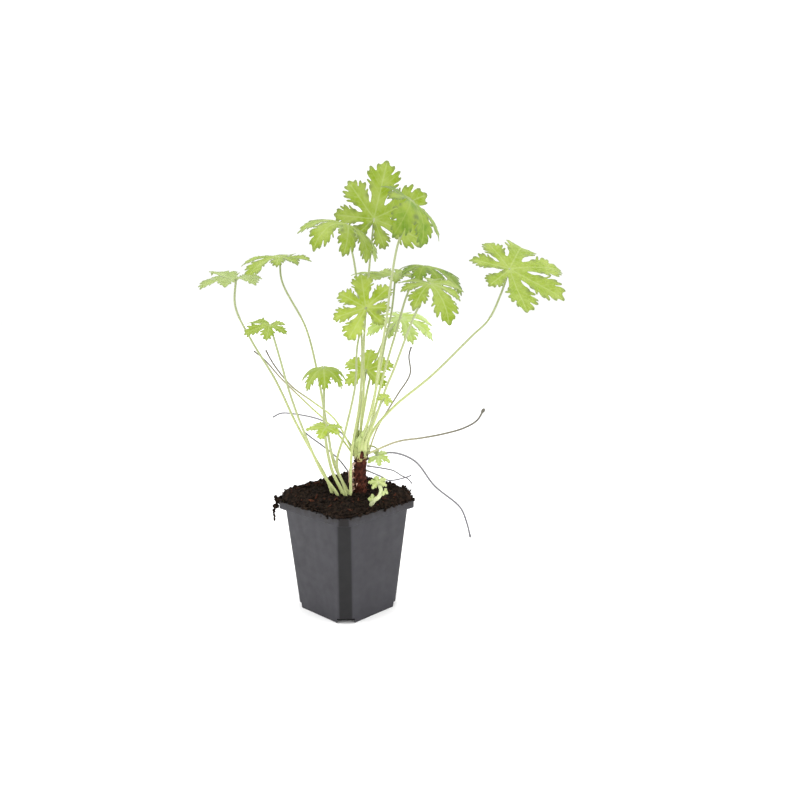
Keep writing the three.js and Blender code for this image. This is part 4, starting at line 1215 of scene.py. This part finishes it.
def soil_surface():
    """The soil as one body, from a small foot on the pot's floor to its rough top."""
    angles = (np.arange(SOIL_SECTORS) + 0.5) * 2 * math.pi / SOIL_SECTORS

    def plain(height, half, cut):
        reach = [cut_square_reach(half, cut, angle) for angle in angles]
        return np.column_stack([
            reach * np.cos(angles), reach * np.sin(angles), np.full(len(angles), height),
        ])

    def body(height, inset):
        return plain(height, body_half(height) - inset, inner_cut(CORNER_CUT_TOP, inset))

    rings = [
        body(SOIL_FLOOR, SOIL_WALL + SOIL_FOOT_INSET), body(6, SOIL_WALL + SOIL_FOOT_INSET),
        body(6.5, SOIL_WALL), body(POT_HEIGHT - 0.6, SOIL_WALL + 0.1),
        plain(POT_HEIGHT + 0.3, BODY_TOP_SIDE / 2 - SOIL_WALL, 8),
    ]
    rings += [soil_edge_ring(angles, share, height) for share, height in BANK_RINGS]
    for number in range(SOIL_RINGS):
        share = 0.99 * (1 - (number / SOIL_RINGS) ** 1.15)
        rings.append(soil_top_ring(angles, max(share, 0.01)))
    return loft(rings)


def bank_wobble(x, y, level):
    """How far the bank's edge winds in or out there."""
    return BANK_WOBBLE * noise.noise(Vector((x / WOBBLE_SIZE, y / WOBBLE_SIZE, level)))


def soil_edge_ring(angles, share, height):
    """A ring of the crumbly bank that lies on the rim."""
    points = []
    for angle in angles:
        reach = share * cut_square_reach(SOIL_LIP, CORNER_CUT_RIM, angle)
        x, y = reach * math.cos(angle), reach * math.sin(angle)
        place = Vector((x / ROUGHNESS_SIZE, y / ROUGHNESS_SIZE, 5 + height))
        fine = BANK_ROUGHNESS * noise.noise(place)
        pull = 1 - (1.3 - bank_wobble(x, y, height) - fine) / reach
        lift = 0.0 if height < 0.5 else fine
        pull = min(pull, BANK_LIMIT)
        points.append((x * pull, y * pull, POT_HEIGHT + height + lift))
    return np.array(points)


def soil_top_ring(angles, share):
    """A ring of the open surface at a share of the way out."""
    points = []
    for angle in angles:
        edge = cut_square_reach(SOIL_LIP, CORNER_CUT_RIM, angle)
        near = share**8  # only the outer rings follow the bank's wobble
        x, y = share * edge * math.cos(angle), share * edge * math.sin(angle)
        pull = 1 - near * (1.6 - bank_wobble(x, y, 2.2)) / edge
        points.append((x * pull, y * pull, rough_height(x, y, share)))
    return np.array(points)


def crumb_shapes(rng, count, level):
    """Lumpy pebbles of radius 1: points of a ball pushed in and out, and their faces."""
    ball = bpy.data.meshes.new("ball")
    work = bmesh.new()
    bmesh.ops.create_icosphere(work, subdivisions=level, radius=1)
    work.to_mesh(ball)
    work.free()
    points = np.array([tuple(vertex.co) for vertex in ball.vertices])
    faces = [tuple(polygon.vertices) for polygon in ball.polygons]
    bpy.data.meshes.remove(ball)
    shapes = []
    for _ in range(count):
        push = 1 + rng.uniform(-0.3, 0.3, len(points))
        shapes.append(points * push[:, None])
    return shapes, faces


def turned(points, rng):
    """The points turned at random about the middle."""
    axes, _ = np.linalg.qr(rng.normal(size=(3, 3)))
    if np.linalg.det(axes) < 0:
        axes[:, 0] *= -1
    return points @ axes


def add_crumbs(shape, rng, count, sizes, level, slot, stretch=(1, 0.75, 0.6), edge=False):
    """Strews lumps over the soil, or along its edge. sizes are the least and largest radius."""
    shapes, faces = crumb_shapes(rng, CRUMB_KINDS, level)
    for _ in range(count):
        size = sizes[0] + (sizes[1] - sizes[0]) * rng.random() ** 2
        angle = rng.uniform(0, 2 * math.pi)
        share = rng.uniform(*BANK_SHARES) if edge else math.sqrt(rng.random())
        reach = share * (cut_square_reach(SOIL_LIP, CORNER_CUT_RIM, angle) - size - 0.2)
        x, y = reach * math.cos(angle), reach * math.sin(angle)
        height = rough_height(x, y, share) + rng.uniform(-0.2, 0.5) * size
        if edge:
            bank = soil_height(x, y, 1) - POT_HEIGHT
            height = POT_HEIGHT + 0.6 + size + rng.uniform(0, 0.6) * bank
        lump = shapes[rng.integers(CRUMB_KINDS)] * np.array(stretch) * size
        flat = turned(lump, rng) + np.array((x, y, height))
        shape.add(flat * MM, faces, slot)


def add_spill(shape, rng, count, sizes):
    """Strews crumbs on the pot's lip, some of them over its edge."""
    shapes, faces = crumb_shapes(rng, CRUMB_KINDS, 1)
    for _ in range(count):
        size = sizes[0] + (sizes[1] - sizes[0]) * rng.random() ** 2
        angle = rng.uniform(0, 2 * math.pi)
        inward = rng.uniform(-0.3, 2.4)
        reach = cut_square_reach(RIM_SIDE / 2, CORNER_CUT_RIM, angle) - inward
        low = -1.6 if inward < 0.1 else 0.2 * size
        height = POT_HEIGHT + rng.uniform(low, 0.9 * size + 0.3)
        flat = turned(shapes[rng.integers(CRUMB_KINDS)] * size, rng)
        place = (reach * math.cos(angle), reach * math.sin(angle), height)
        shape.add((flat + np.array(place)) * MM, faces, PEAT)


def add_strand(shape, rng):
    """Adds the shred of fibrous peat that hangs over the rim at one corner."""
    line, share = smooth_route(STRAND_ROUTE, 0.8)
    radius = 1.1 - 0.5 * share + 0.25 * np.sin(np.arange(len(line)) * 1.9)
    points, faces = tube(line, radius, 8)
    points = points + rng.normal(0, 0.12, points.shape)
    shape.add(to_row(points), faces, PEAT)
    shapes, faces = crumb_shapes(rng, STRAND_KINDS, 1)
    for centre in line[3:]:
        lump = turned(shapes[rng.integers(STRAND_KINDS)] * rng.uniform(0.6, 1.25), rng)
        shape.add(to_row(lump + centre + rng.normal(0, 0.45, 3)), faces, PEAT)
    for centre, radius in STRAND_CLUMPS:
        for _ in range(5):
            lump = turned(shapes[rng.integers(STRAND_KINDS)] * radius * rng.uniform(0.5, 0.8), rng)
            place = np.array(centre) + rng.normal(0, 0.35 * radius, 3)
            shape.add(to_row(lump + place), faces, PEAT)


class SoilSettings(bpy.types.PropertyGroup):
    """Crumbs on the soil."""

    lumps: IntProperty(
        name="Lumps", description="Number of lumps on the soil", default=420, min=0, max=1500,
    )
    crumbs: IntProperty(
        name="Crumbs", description="Number of small crumbs on the soil",
        default=2300, min=0, max=5000,
    )
    chips: IntProperty(
        name="Bark chips", description="Number of slivers of bark", default=110, min=0, max=600,
    )
    spill: IntProperty(
        name="Spilt crumbs", description="Number of crumbs on the pot's lip",
        default=300, min=0, max=2000,
    )
    largest: FloatProperty(
        name="Largest lump", description="Radius of the largest lump",
        default=2.5 * MM, min=0.5 * MM, max=5 * MM, unit="LENGTH",
    )
    dark: FloatVectorProperty(
        name="Peat", description="Colour of the moist peat",
        default=linear("#110D0A"), size=4, min=0, max=1, subtype="COLOR",
    )


class GERANIUM_OT_soil(bpy.types.Operator):
    """Fill the pot with moist compost, with lumps, crumbs and bark chips on top"""

    bl_idname = "geranium.soil"
    bl_label = "Soil"

    def execute(self, context):
        """Builds the body of soil and strews it."""
        sizes = context.scene.geranium_soil
        rng = np.random.default_rng(SOIL_SEED)
        shape = Shape()
        points, faces = soil_surface()
        shape.add(points * MM, faces, PEAT)
        largest = sizes.largest / MM
        add_crumbs(shape, rng, sizes.lumps, (0.7, largest), 2, PEAT)
        add_crumbs(shape, rng, sizes.lumps // 3, (0.6, 0.7 * largest), 2, PEAT, edge=True)
        add_crumbs(shape, rng, sizes.crumbs, (0.3, 0.9), 1, PEAT)
        add_crumbs(shape, rng, sizes.chips, (1.2, 2.6), 1, BARK, stretch=(1.5, 0.45, 0.3))
        add_spill(shape, rng, sizes.spill, (0.4, 1.9))
        add_strand(shape, rng)
        peat = crumbly_matter("moist_peat", sizes.dark, linear("#32251C"), 2.6, 0.9)
        bark = crumbly_matter("composted_bark", linear("#2C1913"), linear("#5A3424"), 3, 0.85)
        soil = shape.build("soil_crumbly", [peat, bark], smooth=False)
        settle(soil, "soil", "soil")
        return {"FINISHED"}


# ---------------------------------------------------------------- the rhizome

SCALE, BRACT, ROOT, STIPULE = 0, 1, 2, 3  # the finishes of the rhizome, in their order
CORE_LEVELS, CORE_SIDES = 44, 22
SCALE_ROWS, SCALE_COLUMNS = 6, 5
SCALE_THICKNESS = 0.3
SCALE_TURN, SCALE_STRAY = 2.4, 0.25  # radians from one scale to the next, and its stray
SCALE_SEAT = 0.93  # where a scale stands, as a share of the stem's radius
SCALE_LENGTHS, SCALE_WIDTHS, SCALE_FLARES = (0.8, 1.2), (0.5, 0.7), (0.4, 1.6)  # shares
ROOTLET_HEIGHTS = (106, 132)
ROOTLET_ANGLES = (2.5, 4.3)  # radians: the rhizome's left side


def rhizome_axis(height):
    """Middle of the rhizome at a height in the plant's frame."""
    share = (height - RHIZOME_FOOT) / (CROWN[2] - RHIZOME_FOOT)
    return np.array((CROWN[0] - math.sin(share * math.pi) * RHIZOME_SWAY, CROWN[1], height))


def rhizome_core(rng):
    """The knobbly stem under the scales."""
    rings = []
    turns = np.arange(CORE_SIDES) * 2 * math.pi / CORE_SIDES
    for level in range(CORE_LEVELS + 1):
        height = RHIZOME_FOOT + (CROWN[2] - RHIZOME_FOOT) * level / CORE_LEVELS
        knob = 0.93 + 0.08 * math.sin(level * 1.35)
        close = 1 - 0.45 * max(0, (level - CORE_LEVELS + 3) / 3) ** 2  # rounds the top off
        radius = RHIZOME_RADIUS * knob * close * (1 + rng.uniform(-0.07, 0.07, CORE_SIDES))
        ring = np.column_stack([np.cos(turns) * radius, np.sin(turns) * radius, 0 * turns])
        rings.append(ring + rhizome_axis(height))
    return loft(rings)


def scale_plate(length, width, flare, lift):
    """A pointed papery scale that stands on x = 0, curved across, with its tip flared out.

    Its columns are: out from the stem, across it, and up it.
    """
    outer, inner = [], []
    for row in range(SCALE_ROWS):
        t = row / (SCALE_ROWS - 1)
        half = width / 2 * (1 - t**2.2) * (0.75 + 0.6 * t) + 0.12
        for column in range(SCALE_COLUMNS):
            u = 2 * column / (SCALE_COLUMNS - 1) - 1
            out = lift + flare * t * t - 0.28 * half * u * u
            outer.append((out, u * half, length * t))
            inner.append((out - SCALE_THICKNESS, u * half * 0.96, length * t))
    wide, count = SCALE_COLUMNS, SCALE_ROWS * SCALE_COLUMNS
    faces = []
    for row in range(SCALE_ROWS - 1):
        for a in range(row * wide, row * wide + wide - 1):
            quad = (a, a + 1, a + 1 + wide, a + wide)
            faces += [quad, tuple(count + i for i in reversed(quad))]
    for a in range(0, count - wide, wide):
        b = a + wide - 1
        faces.append((a, a + count, a + wide + count, a + wide))
        faces.append((b + wide, b + wide + count, b + count, b))
    faces += [(a + 1, a + 1 + count, a + count, a) for a in range(wide - 1)]
    faces += [(a, a + count, a + 1 + count, a + 1) for a in range(count - wide, count - 1)]
    return np.array(outer + inner), faces


def add_scales(shape, rng, count, heights, length, slot, flare=1.1, out=0.0):
    """Adds rows of scales round the rhizome between two heights."""
    for number in range(count):
        height = heights[0] + (heights[1] - heights[0]) * number / max(1, count - 1)
        angle = number * SCALE_TURN + rng.uniform(-SCALE_STRAY, SCALE_STRAY)
        tall = length * rng.uniform(*SCALE_LENGTHS)
        points, faces = scale_plate(
            tall, tall * rng.uniform(*SCALE_WIDTHS), flare * rng.uniform(*SCALE_FLARES),
            RHIZOME_RADIUS * SCALE_SEAT + out,
        )
        share = np.clip(points[:, 2] / tall, 0, 1)
        shape.add(to_row(points @ spin(angle) + rhizome_axis(height)), faces, slot, share=share)


def add_rootlets(shape, rng, count):
    """Adds thin pale roots that leave the rhizome's left side and bend down."""
    for _ in range(count):
        height = rng.uniform(*ROOTLET_HEIGHTS)
        angle = rng.uniform(*ROOTLET_ANGLES)
        way = np.array((math.cos(angle), math.sin(angle), 0))
        start = rhizome_axis(height) + way * RHIZOME_RADIUS * 0.8
        long = rng.uniform(4, 8)
        route = [
            start, start + way * 0.5 * long + (0, 0, -1),
            start + way * 0.75 * long + (0, 0, -0.6 * long),
            start + way * (0.6 * long) + rng.normal(0, 0.8, 3) + (0, 0, -1.5 * long),
        ]
        add_stem(shape, route, (0.5, 0.25), ROOT, 1.2, 6)


class RhizomeSettings(bpy.types.PropertyGroup):
    """Scales and roots of the rhizome."""

    scales: IntProperty(
        name="Scales", description="Number of red-brown scales", default=84, min=0, max=300,
    )
    bracts: IntProperty(
        name="Bracts", description="Number of pale bracts round the crown",
        default=14, min=0, max=60,
    )
    stipules: IntProperty(
        name="Stipules", description="Number of green sheaths that hold the stalks together",
        default=15, min=0, max=40,
    )
    rootlets: IntProperty(
        name="Rootlets", description="Number of thin roots in the air", default=26, min=0, max=60,
    )


class GERANIUM_OT_rhizome(bpy.types.Operator):
    """Build the scaly rhizome with its crown and its roots in the air"""

    bl_idname = "geranium.rhizome"
    bl_label = "Rhizome"

    def execute(self, context):
        """Builds the stem, its scales, the crown's bracts and the roots."""
        sizes = context.scene.geranium_rhizome
        rng = np.random.default_rng(RHIZOME_SEED)
        shape = Shape()
        points, faces = rhizome_core(rng)
        shape.add(to_row(points), faces, SCALE)
        add_scales(shape, rng, sizes.scales, (98, 136), 6.2, SCALE)
        add_scales(shape, rng, sizes.bracts, (131, 139), 10, BRACT, flare=1.6, out=0.3)
        add_scales(shape, rng, sizes.stipules, (136, 142), 19, STIPULE, flare=1.2, out=0.9)
        add_scales(shape, rng, sizes.bracts // 2, (134, 138), 8, SCALE, flare=1.2, out=1.3)
        for route, slot in zip(AERIAL_ROOTS, (ROOT, ROOT, SCALE)):
            add_stem(shape, route, (0.7, 0.4), slot, 1.5, 8)
        add_rootlets(shape, rng, sizes.rootlets)
        scale = crumbly_matter("dry_scale", linear("#2F1812"), linear("#6A3A2C"), 3.4, 0.7)
        bract = stem_skin("pale_bract", [(0, "#8A4A30"), (0.3, "#B3A468"), (1, "#C4D48C")])
        root = stem_skin("young_root", [(0, "#A8685A"), (0.4, "#D9B3A0"), (1, "#CDA994")])
        stipule = stem_skin("green_stipule", [(0, "#AFB178"), (0.4, "#B9C67A"), (1, "#C3D38C")])
        rhizome = shape.build("rhizome_scaly", [scale, bract, root, stipule])
        settle(rhizome, "rhizome", "rhizome")
        return {"FINISHED"}


# ---------------------------------------------------------------- leaves and stalks


class LeafSettings(bpy.types.PropertyGroup):
    """Sizes of the blades and their stalks."""

    thickness: FloatProperty(
        name="Blade thickness", description="Thickness of a blade between its veins",
        default=0.4 * MM, min=0.2 * MM, max=1.5 * MM, unit="LENGTH",
    )
    foot: FloatProperty(
        name="Foot", description="How much thicker the sheathing base of a stalk is",
        default=0.6, min=0, max=2,
    )
    spacing: FloatProperty(
        name="Net spacing", description="Distance between the points of a blade's net",
        default=1.7 * MM, min=0.8 * MM, max=5 * MM, unit="LENGTH",
    )
    ripple: FloatProperty(
        name="Ripple", description="Height of the small waves near a blade's edge",
        default=0.3 * MM, min=0, max=2 * MM, unit="LENGTH",
    )
    stalk_sides: IntProperty(
        name="Stalk sides", description="Sides of a stalk's section", default=12, min=5, max=32,
    )


PETIOLE_COLOURS = [(0, "#CDD594"), (0.3, "#BEC786"), (0.7, "#A9B083"), (1, "#9EA77B")]
STALK_SKINS = {  # the colours from root to end, and the colour of the streaks
    "dry": ([(0, "#C6CB8C"), (0.3, "#ADA68A"), (0.62, "#7F786C"), (1, "#5A5354")], "#77804F"),
    "grey": ([(0, "#A3A396"), (0.25, "#87868A"), (1, "#6C6A70")], "#5E5B60"),
    "green": ([(0, "#CDD78E"), (0.5, "#C0C986"), (0.78, "#958D72"), (1, "#5F5856")], "#77804F"),
}

FINE_NET = 0.75  # spacing of the points of the smallest blades
FULL_NET_RADIUS = 42  # blades from this radius on have the full spacing
STALK_STEP = 2.5  # between the rings of a stalk
SHOOT_STEP = 1.5  # between the rings of the young shoot
SHOOT_RIPPLE = 0.3
HUB_WIDTH = 1.35  # of a blade's hub, as a share of its stalk


def add_leaf(shape, leaf, stream, sizes, net, ripple, step, foot=0.0):
    """Adds a blade and its stalk. net is the spacing of the blade's points."""
    add_blade(shape, leaf, stream, sizes.thickness / MM, net, ripple)
    radii = (leaf.stalk, leaf.stalk * STALK_TAPER)
    add_stem(shape, leaf.route, radii, STALK_SKIN, step, sizes.stalk_sides, foot)


def leaf_piece(leaf, stream, sizes, materials):
    """One leaf: blade, stalk, and the small knot where its veins meet."""
    shape = Shape()
    net = max(FINE_NET, sizes.spacing / MM * min(1, (leaf.radius / FULL_NET_RADIUS) ** 0.6))
    foot = sizes.foot if leaf.stalk > 1 else 0
    add_leaf(shape, leaf, stream, sizes, net, sizes.ripple / MM, STALK_STEP, foot)
    hub = leaf.stalk * STALK_TAPER * HUB_WIDTH
    end = np.array(leaf.route[-1], float)
    add_bead(shape, end, unit(leaf.facing), hub, HUB, STALK_SKIN)
    return shape.build(f"{leaf.name}_fine", materials)


class GERANIUM_OT_leaves(bpy.types.Operator):
    """Build every leaf: a lobed, toothed blade on a long stalk"""

    bl_idname = "geranium.leaves"
    bl_label = "Leaves"

    def execute(self, context):
        """Builds the leaves in the order of the table."""
        sizes = context.scene.geranium_leaves
        petiole = stem_skin("petiole_skin", PETIOLE_COLOURS)
        finishes = {
            slot: [
                leaf_tissue(f"{slot}_upper_face", finish, underside=False),
                leaf_tissue(f"{slot}_underside", finish, underside=True),
                petiole,
            ]
            for slot, finish in LEAF_FINISHES.items()
        }
        for number, leaf in enumerate(LEAVES):
            skins = finishes["leaf_fresh_and_painted_light" if leaf.fresh_and_painted_light else leaf.finish]
            piece = leaf_piece(leaf, hash_stream(LEAF_SEED + number), sizes, skins)
            settle(piece, leaf.finish, leaf.name)
        return {"FINISHED"}


class GERANIUM_OT_old_stalks(bpy.types.Operator):
    """Build the old leafless stalks and the roots in the air"""

    bl_idname = "geranium.old_stalks"
    bl_label = "Old stalks"

    def execute(self, context):
        """Builds the old stalks in the order of the table."""
        sides = context.scene.geranium_leaves.stalk_sides
        skins = {
            name: stem_skin(f"{name}_stalk_skin", stops, rough=0.6, shade=shade)
            for name, (stops, shade) in STALK_SKINS.items()
        }
        for stalk in OLD_STALKS:
            shape = Shape()
            add_stem(shape, stalk.route, stalk.radii, 0, STALK_STEP, sides)
            if stalk.knob:
                before, end = (np.array(point, float) for point in stalk.route[-2:])
                add_bead(shape, end, unit(end - before), stalk.knob, KNOB, 0)
            piece = shape.build(f"{stalk.name}_fine", [skins[stalk.skin]])
            settle(piece, "old_stalk", stalk.name)
        return {"FINISHED"}


class GERANIUM_OT_seedling(bpy.types.Operator):
    """Build the pale young shoot beside the rhizome"""

    bl_idname = "geranium.seedling"
    bl_label = "Young shoot"

    def execute(self, context):
        """Builds the shoot's three blades and its stem as one piece."""
        sizes = context.scene.geranium_leaves
        stream = hash_stream(SEEDLING_SEED)
        shape = Shape()
        for leaf in SEEDLING_BLADES:
            add_leaf(shape, leaf, stream, sizes, FINE_NET, SHOOT_RIPPLE, SHOOT_STEP)
        stem = SEEDLING_STEM
        add_stem(shape, stem.route, stem.radii, STALK_SKIN, SHOOT_STEP, sizes.stalk_sides)
        materials = [
            leaf_tissue("young_leaf_face", YOUNG_FINISH, underside=False),
            leaf_tissue("young_leaf_underside", YOUNG_FINISH, underside=True),
            stem_skin("young_stem_skin", [(0, "#D2D8AC"), (1, "#CBD49E")]),
        ]
        settle(shape.build("seedling_fine", materials), "leaf_pale", "seedling")
        return {"FINISHED"}


# ---------------------------------------------------------------- the stage


class StageSettings(bpy.types.PropertyGroup):
    """Camera, floor and light."""

    lens: FloatProperty(
        name="Lens", description="Focal length of the camera", default=34.16, min=10, max=200,
    )
    world: FloatProperty(
        name="World light", description="Strength of the white surroundings",
        default=1.02, min=0, max=5,
    )
    front: FloatProperty(
        name="Front light", description="Strength of the surroundings behind the camera",
        default=0.9, min=0, max=5,
    )
    screens: FloatProperty(
        name="Side screens", description="Light of the bright screens on both sides",
        default=1.3, min=0.1, max=5,
    )
    zenith: FloatProperty(
        name="Zenith light", description="How much stronger the surroundings are overhead",
        default=0.6, min=0, max=5,
    )
    sides: FloatProperty(
        name="Side light", description="Power of each soft light beside the plant, in watts",
        default=5, min=0, max=200,
    )
    top: FloatProperty(
        name="Top light", description="Power of the soft light above the plant, in watts",
        default=3, min=0, max=200,
    )
    floor: FloatVectorProperty(
        name="Floor", description="Colour of the floor",
        default=linear("#FAFAFA"), size=4, min=0, max=1, subtype="COLOR",
    )


CAMERA_PLACE = Vector((-441.3, -483.6, 280)) * MM
CAMERA_PITCH = math.radians(-8.18)
CAMERA_WAY = Vector((0.7254, 0.6884, 0))
SENSOR_WIDTH = 36
FLOOR_SIDE = 12  # metres
MIDDLE = Vector((0, 0, 0.18))  # of the plant with its pot, in metres
SIDE_LIGHT = (1.1, 0.45, 0.35)  # metres beside it, towards the camera and up
SIDE_LIGHT_SIZE, TOP_LIGHT_SIZE, TOP_LIGHT_HEIGHT = 0.9, 1.4, 1.4


def square_plane(name, side):
    """A flat square about the origin, in metres."""
    half = side / 2
    corners = [(-half, -half, 0), (half, -half, 0), (half, half, 0), (-half, half, 0)]
    mesh = bpy.data.meshes.new(name)
    mesh.from_pydata(corners, [], [(0, 1, 2, 3)])
    thing = bpy.data.objects.new(name, mesh)
    bpy.context.scene.collection.objects.link(thing)
    return thing


def aim(thing, place, target):
    """Puts a thing at a place with its -Z axis at the target."""
    thing.location = place
    thing.rotation_euler = (Vector(target) - Vector(place)).to_track_quat("-Z", "Y").to_euler()


def soft_light(name, power, size, place):
    """A large soft square light, aimed at the plant."""
    lamp = bpy.data.lights.new(name, "AREA")
    lamp.energy, lamp.size = power, size
    light = bpy.data.objects.new(name, lamp)
    bpy.context.scene.collection.objects.link(light)
    aim(light, place, MIDDLE)


def matt_card(name, colour):
    """Matt painted card: no gloss at all."""
    material, tree = new_material(name)
    surface = add_node(tree, "ShaderNodeBsdfDiffuse", {"Color": colour})
    add_node(tree, "ShaderNodeOutputMaterial", {"Surface": surface})
    return material


def white_studio(back, front, sides, zenith):
    """White surroundings with a bright screen on each side and less light from in front."""
    world = bpy.data.worlds.new("white_studio")
    world.use_nodes = True
    tree = world.node_tree
    tree.nodes.clear()
    way = add_node(tree, "ShaderNodeTexCoord").outputs["Generated"]
    ahead = add_node(tree, "ShaderNodeVectorMath", {
        0: way, 1: CAMERA_WAY,
    }, operation="DOT_PRODUCT").outputs["Value"]
    near = add_node(tree, "ShaderNodeMapRange", {
        "Value": ahead, "From Min": -0.9, "From Max": -0.1, "To Min": front, "To Max": sides,
    }, interpolation_type="SMOOTHSTEP")
    far = add_node(tree, "ShaderNodeMapRange", {
        "Value": ahead, "From Min": 0.3, "From Max": 0.75, "To Min": 1, "To Max": back / sides,
    }, interpolation_type="SMOOTHSTEP")
    level = add_node(tree, "ShaderNodeMath", {0: near, 1: far}, operation="MULTIPLY")
    upward = add_node(tree, "ShaderNodeSeparateXYZ", {"Vector": way}).outputs["Z"]
    above = add_node(tree, "ShaderNodeMath", {0: upward, 1: 0.0}, operation="MAXIMUM")
    both = add_node(tree, "ShaderNodeMath", {
        0: above, 1: zenith, 2: level,
    }, operation="MULTIPLY_ADD")
    sky = add_node(tree, "ShaderNodeBackground", {"Color": (1, 1, 1, 1), "Strength": both})
    add_node(tree, "ShaderNodeOutputWorld", {"Surface": sky})
    return world


class GERANIUM_OT_stage(bpy.types.Operator):
    """Set up the camera, the pale floor and the soft studio light"""

    bl_idname = "geranium.stage"
    bl_label = "Stage"

    def execute(self, context):
        """Builds the stage round the plant."""
        sizes = context.scene.geranium_stage
        lens = bpy.data.cameras.new("camera")
        lens.lens, lens.sensor_width = sizes.lens, SENSOR_WIDTH
        camera = bpy.data.objects.new("camera", lens)
        context.scene.collection.objects.link(camera)
        way = CAMERA_WAY * math.cos(CAMERA_PITCH) + Vector((0, 0, math.sin(CAMERA_PITCH)))
        aim(camera, CAMERA_PLACE, CAMERA_PLACE + way)
        context.scene.camera = camera

        floor = square_plane("floor", FLOOR_SIDE)
        floor.data.materials.append(matt_card("pale_floor", sizes.floor))
        right = Vector((CAMERA_WAY.y, -CAMERA_WAY.x, 0))
        beside, nearer, up = SIDE_LIGHT
        for name, side in (("left_light", -1), ("right_light", 1)):
            place = MIDDLE + right * side * beside - CAMERA_WAY * nearer + Vector((0, 0, up))
            soft_light(name, sizes.sides, SIDE_LIGHT_SIZE, place)
        overhead = MIDDLE + Vector((0, 0, TOP_LIGHT_HEIGHT))
        soft_light("top_light", sizes.top, TOP_LIGHT_SIZE, overhead)

        world = white_studio(sizes.world, sizes.front, sizes.screens, sizes.zenith)
        context.scene.world = world
        context.scene.view_settings.view_transform = "Standard"
        return {"FINISHED"}


# ---------------------------------------------------------------- the panel and the run


SETTINGS = {
    "geranium_pot": PotSettings,
    "geranium_soil": SoilSettings,
    "geranium_rhizome": RhizomeSettings,
    "geranium_leaves": LeafSettings,
    "geranium_stage": StageSettings,
}
OPERATORS = [
    GERANIUM_OT_pot, GERANIUM_OT_soil, GERANIUM_OT_rhizome, GERANIUM_OT_leaves,
    GERANIUM_OT_old_stalks, GERANIUM_OT_seedling, GERANIUM_OT_stage,
]


class GERANIUM_PT_panel(bpy.types.Panel):
    """Lists the pieces of the plant and their settings"""

    bl_label = "Potted geranium"
    bl_idname = "GERANIUM_PT_panel"
    bl_space_type = "VIEW_3D"
    bl_region_type = "UI"
    bl_category = "Geranium"

    def draw(self, context):
        """Draws a button for each operator and the settings under them."""
        for operator in OPERATORS:
            self.layout.operator(operator.bl_idname)
        for name, group in SETTINGS.items():
            box = self.layout.box()
            for setting in group.__annotations__:
                box.prop(getattr(context.scene, name), setting)


def register():
    """Registers the settings, the operators and the panel."""
    for group in SETTINGS.values():
        bpy.utils.register_class(group)
    for name, group in SETTINGS.items():
        setattr(bpy.types.Scene, name, PointerProperty(type=group))
    for operator in OPERATORS:
        bpy.utils.register_class(operator)
    bpy.utils.register_class(GERANIUM_PT_panel)


def unregister():
    """Takes everything back off Blender's lists."""
    bpy.utils.unregister_class(GERANIUM_PT_panel)
    for operator in reversed(OPERATORS):
        bpy.utils.unregister_class(operator)
    for name, group in SETTINGS.items():
        delattr(bpy.types.Scene, name)
        bpy.utils.unregister_class(group)


def main():
    """Builds everything in order."""
    register()
    for operator in OPERATORS:
        group, name = operator.bl_idname.split(".")
        getattr(getattr(bpy.ops, group), name)()


if __name__ == "__main__":
    main()
